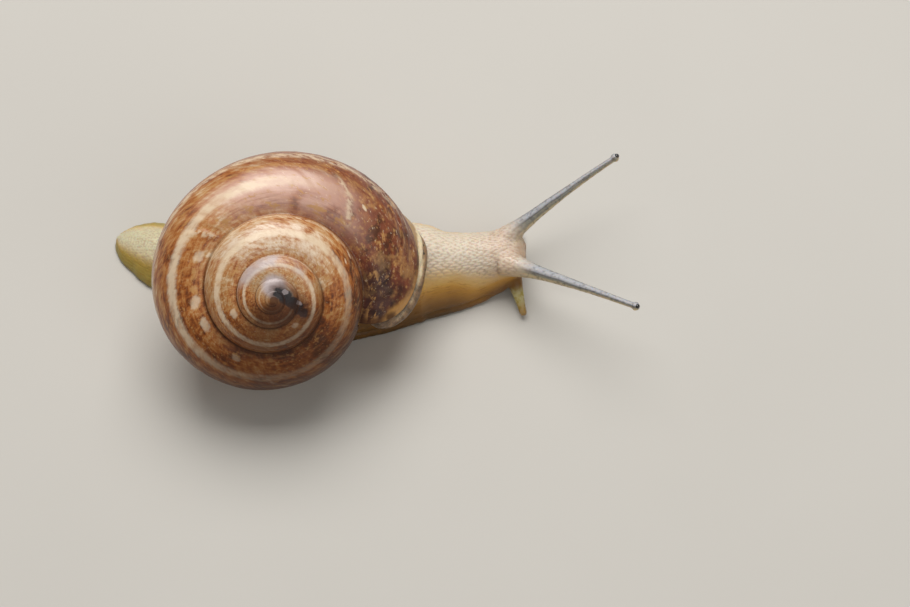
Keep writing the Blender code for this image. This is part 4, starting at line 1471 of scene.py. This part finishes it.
        brow = ease(ahead, 23.7, 24.6) * ease(np.abs(off), 2.1, 0.9) * ease(level, 2.6, 4.4)
        # Under the shell on the animal's right the BACK mark is lowered, so the flank there is painted
        # darker: painted shade under the shell.
        under = ease(along, 14.0, 10.5) * ease(along, -4.0, 0.0) * ease(off, 1.0, -1.0)
        spots = [np.linalg.norm(points - spot, axis=1) for spot in self.spots_mm]
        marks = {
            Mark.BACK: turn * (1 - 0.45 * under) + 0.14 * ease(off, 0.3, 2.2) * ease(turn, 0.1, 0.35),
            Mark.GRAIN: 1 - (1 - grain) * back * bare,
            Mark.ALONG: along,
            Mark.BROW: brow * bare,
            Mark.COLLAR: collar,
            Mark.RIM: np.clip(out / self.collar_depth_mm - 0.2 * ease(left, 2.2, -1.0), 0, 1),
            Mark.TURNED: ease(left, 0.3, -3.5),
            Mark.SPOT: ease(np.min(spots, axis=0), 0.26, 0.12),
            Mark.WET: ease(np.linalg.norm(points - self.gleam_mm, axis=1), 0.75, 0.35),
            **horn,
        }
        for mark, values in marks.items():
            layer = mesh.attributes.new(mark.name, "FLOAT", "POINT")
            layer.data.foreach_set("value", values.astype(np.float32))
        hidden = (along <= 9.5) & (along >= -8.0)
        plain = (horn[Mark.FEELER] < 0.01) & (collar < 0.01) & ((back < 0.1) | hidden) & (ahead < 22.5)
        self.points = points + depth[:, None] * read_rows(mesh.vertex_normals, "vector")
        return plain

    def horn_marks(self) -> dict[Mark, Array]:
        """What the skin's points carry on the feelers.

        The upper pair has a dark nerve line along its right side, a grey side below that and a pale
        underside. The lower pair darkens towards its tips.

        Returns:
            One array for each mark.
        """
        names = (Mark.FEELER, Mark.STRIPE, Mark.SHADE, Mark.UNDER, Mark.PALP)
        marks = {name: np.zeros(len(self.points)) for name in names}
        for shape in self.feelers:
            share, _, offset, weight = shape.beside(self.points, 0.1)
            left, above = (np.sum(offset * axis, axis=1) for axis in shape.across(np.clip(share, 0, 1)))
            around = np.arctan2(left, above) + 0.1 * soft_noise(share * 14, seed=35)
            own = {Mark.FEELER: weight, Mark.PALP: 0.5 + 0.5 * ease(share, 0.3, 1.0)}
            if shape.nerve is not None:
                line = shape.nerve
                own = {
                    Mark.FEELER: weight,
                    Mark.STRIPE: np.maximum(bump_at(around, line, 0.26), 0.7 * ease(around, 0.35, 1.0)),
                    Mark.SHADE: ease(around, line + 0.1, line - 0.1),
                    Mark.UNDER: np.maximum(ease(around, -0.95, -1.25), ease(around, 1.5, 2.0)),
                }
            nearer = weight > marks[Mark.FEELER]
            marks = {name: np.where(nearer, own.get(name, 0.0), values) for name, values in marks.items()}
        return marks

    def collar_mark(self) -> Array:
        """How far each point belongs to the mantle's edge.

        Returns:
            1 within 0.4 mm of the collar's outer rings and 0 beyond 0.62 mm, softened over the mesh.
        """
        rings = np.stack([self.coil.collar_ring(*ring, self.columns) for ring in self.collar_rings[2:-2]])
        steps = np.array([0.0, 0.25, 0.5, 0.75])[:, None, None, None]
        cloud = (rings + steps * (np.roll(rings, -1, axis=1) - rings)).reshape(-1, 3)
        close = np.flatnonzero(np.linalg.norm(self.points - cloud.mean(axis=0), axis=1) < 12)
        nearest = np.full(len(self.points), 9.0)
        for chunk in np.array_split(close, 80):
            nearest[chunk] = np.linalg.norm(self.points[chunk, None] - cloud, axis=-1).min(axis=1)
        return relaxed(ease(nearest, 0.62, 0.4)[:, None], self.edges, 0.5, 3)[:, 0]

    def head_depth(self, along: Array, off: Array) -> Array:
        """Folds of the head.

        A groove runs between the roots of the upper feelers, two shallow grooves run down the middle of
        the neck, and the mouth is a short cleft between two lips under the front of the head.

        Args:
            along: Distance of each point along the middle line.
            off: Its distance from the middle line to the left.

        Returns:
            Depth of each point, in millimetres out of the surface.
        """
        ahead, _, level = self.points.T
        brow = ease(ahead, 22.8, 24.2) * bump_at(off, 0.0, 0.6) * ease(level, 3.2, 4.4)
        neck = ease(along, 12.0, 15.0) * ease(along, 23.0, 20.0) * ease(level, 4.0, 5.5)
        front = ease(ahead, 23.3, 24.3) * ease(level, 4.0, 3.2)
        cleft = bump_at(off, 0.0, 0.16) * ease(level, 3.0, 2.3) * ease(level, 0.3, 0.9)
        slit = bump_at(level, 1.25 + 0.3 * np.abs(off), 0.14) * ease(np.abs(off), 1.6, 0.9)
        chin = bump_at(np.abs(off), 1.55, 0.3) * ease(level, 2.8, 2.0)
        folds = 0.12 * brow + 0.05 * neck * bump_at(np.abs(off), 0.32, 0.12)
        return -folds - front * (0.34 * cleft + 0.3 * slit + 0.16 * chin)


@dataclass
class Eye:
    """A bead set in the upper side of a feeler's tip."""

    feeler: Feeler
    finish: EyeFinish
    radius: float = 0.262
    set_out: float = 0.29

    def build(self) -> Object:
        """The bead: circles of radius r sin t at height r cos t, for t from one pole to the other.

        Returns:
            The piece.
        """
        along = unit(np.array(self.feeler.tip) - self.feeler.root)
        middle = self.feeler.tip - self.feeler.ball * along + self.set_out * unit(along + UP)
        t = np.linspace(0.06, math.pi - 0.06, 28)[:, None]
        turn = 2 * math.pi * np.arange(40) / 40
        circles = np.broadcast_arrays(np.sin(t) * np.cos(turn), np.sin(t) * np.sin(turn), np.cos(t))
        rings = middle + self.radius * np.stack(circles, axis=-1)
        piece = Surface.tube(rings).to_object(f"eye_bead_{self.feeler.name}")
        piece.data.materials.append(self.finish.build())
        return piece


# --- Studio ---


@dataclass
class Studio:
    """Pale floor, soft lights and the camera."""

    finish: FloorFinish
    elevation_deg: float = 66.0
    distance_mm: float = 315.0
    target_mm: Point = (17.8, 0.0, 0.0)
    view_width_deg: float = 17.2
    floor_mm: float = 1500.0
    lit_mm: Point = (5.0, 0.0, 8.0)

    def build(self) -> None:
        """Makes the floor, the lights, the surroundings and the camera."""
        self.floor()
        self.camera()
        self.light("overhead", (5.0, 165.0, 375.0), 310.0, 1.75, (1.0, 0.975, 0.945))
        self.light("front_fill", (160.0, -220.0, 260.0), 300.0, 0.22, (1.0, 0.99, 0.97))
        world = bpy.data.worlds.new("surroundings")
        world.use_nodes = True
        shade = world.node_tree.nodes["Background"]
        shade.inputs["Color"].default_value = (1.0, 0.97, 0.93, 1.0)
        shade.inputs["Strength"].default_value = 0.24
        bpy.context.scene.world = world
        bpy.context.scene.view_settings.view_transform = "Standard"

    def floor(self) -> None:
        """A flat square floor, finer than one face so that it shades evenly."""
        line = np.linspace(-self.floor_mm, self.floor_mm, 9)
        y, x = np.meshgrid(line, line)
        points = np.stack([x, y, np.zeros_like(x)], axis=-1).reshape(-1, 3)
        quads = corners_of(np.arange(x.size).reshape(x.shape))[:, ::-1]
        floor = Surface(points, quads, np.zeros((0, 3), int)).to_object("floor")
        floor.data.materials.append(self.finish.build())
        floor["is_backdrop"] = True

    def light(self, name: str, place: Point, size_mm: float, watts: float, colour: Colour) -> None:
        """A square soft light that faces the animal.

        Args:
            name: Its name.
            place: Its middle, in millimetres.
            size_mm: Its side.
            watts: Its power.
            colour: Its colour.
        """
        lamp = bpy.data.lights.new(name, "AREA")
        lamp.shape, lamp.size, lamp.energy, lamp.color = "SQUARE", size_mm * MM, watts, colour
        self.set_up(name, lamp, Vector(place), Vector(self.lit_mm) - Vector(place))

    def set_up(self, name: str, data: bpy.types.ID, place: Vector, look: Vector) -> Object:
        """Puts a light or a camera into the scene.

        Args:
            name: Name of its object.
            data: The light or camera.
            place: Its place in millimetres.
            look: Which way it looks.

        Returns:
            The object.
        """
        made = bpy.data.objects.new(name, data)
        made.location = place * MM
        made.rotation_euler = look.to_track_quat("-Z", "Y").to_euler()
        bpy.context.scene.collection.objects.link(made)
        return made

    def camera(self) -> None:
        """The camera, looking down from the animal's right side."""
        data = bpy.data.cameras.new("camera")
        data.sensor_width = 36.0
        data.lens = data.sensor_width / 2 / math.tan(math.radians(self.view_width_deg) / 2)
        data.clip_start, data.clip_end = 0.01, 10.0
        up = math.radians(self.elevation_deg)
        back = Vector((0.0, -math.cos(up), math.sin(up)))
        place = Vector(self.target_mm) + self.distance_mm * back
        bpy.context.scene.camera = self.set_up("camera", data, place, -back)


def placed(piece: Object, nodes: list[str]) -> None:
    """Gives a piece its body, hides the solids that it stands for, and logs its size.

    Args:
        piece: The finished piece.
        nodes: Solids that it stands for.
    """
    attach(piece, "root")
    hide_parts(*nodes)
    log.info("%s: %d triangles", piece.name, sum(len(p.vertices) - 2 for p in piece.data.polygons))


def main() -> None:
    """Builds every piece in order."""
    logging.basicConfig(level=logging.INFO, format="%(message)s")
    solid_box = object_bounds()
    coil, horns = Coil(), feelers()
    placed(Shell(coil, ShellFinish()).build(), ["shell"])
    flesh = [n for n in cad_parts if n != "shell" and not n.startswith("eye_")]
    placed(Skin(coil, SkinFinish(), BodyLine(), horns).build(), flesh)
    for horn in horns[:2]:
        placed(Eye(horn, EyeFinish()).build(), [f"eye_{horn.name}"])
    Studio(FloorFinish()).build()
    boxes = {"cad": [list(c) for c in solid_box], "visual": [list(c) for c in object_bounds()]}
    for name, box in boxes.items():
        log.info("%s box mm: %s to %s", name, *np.round(np.array(box) / MM, 2))


if __name__ == "__main__":
    main()
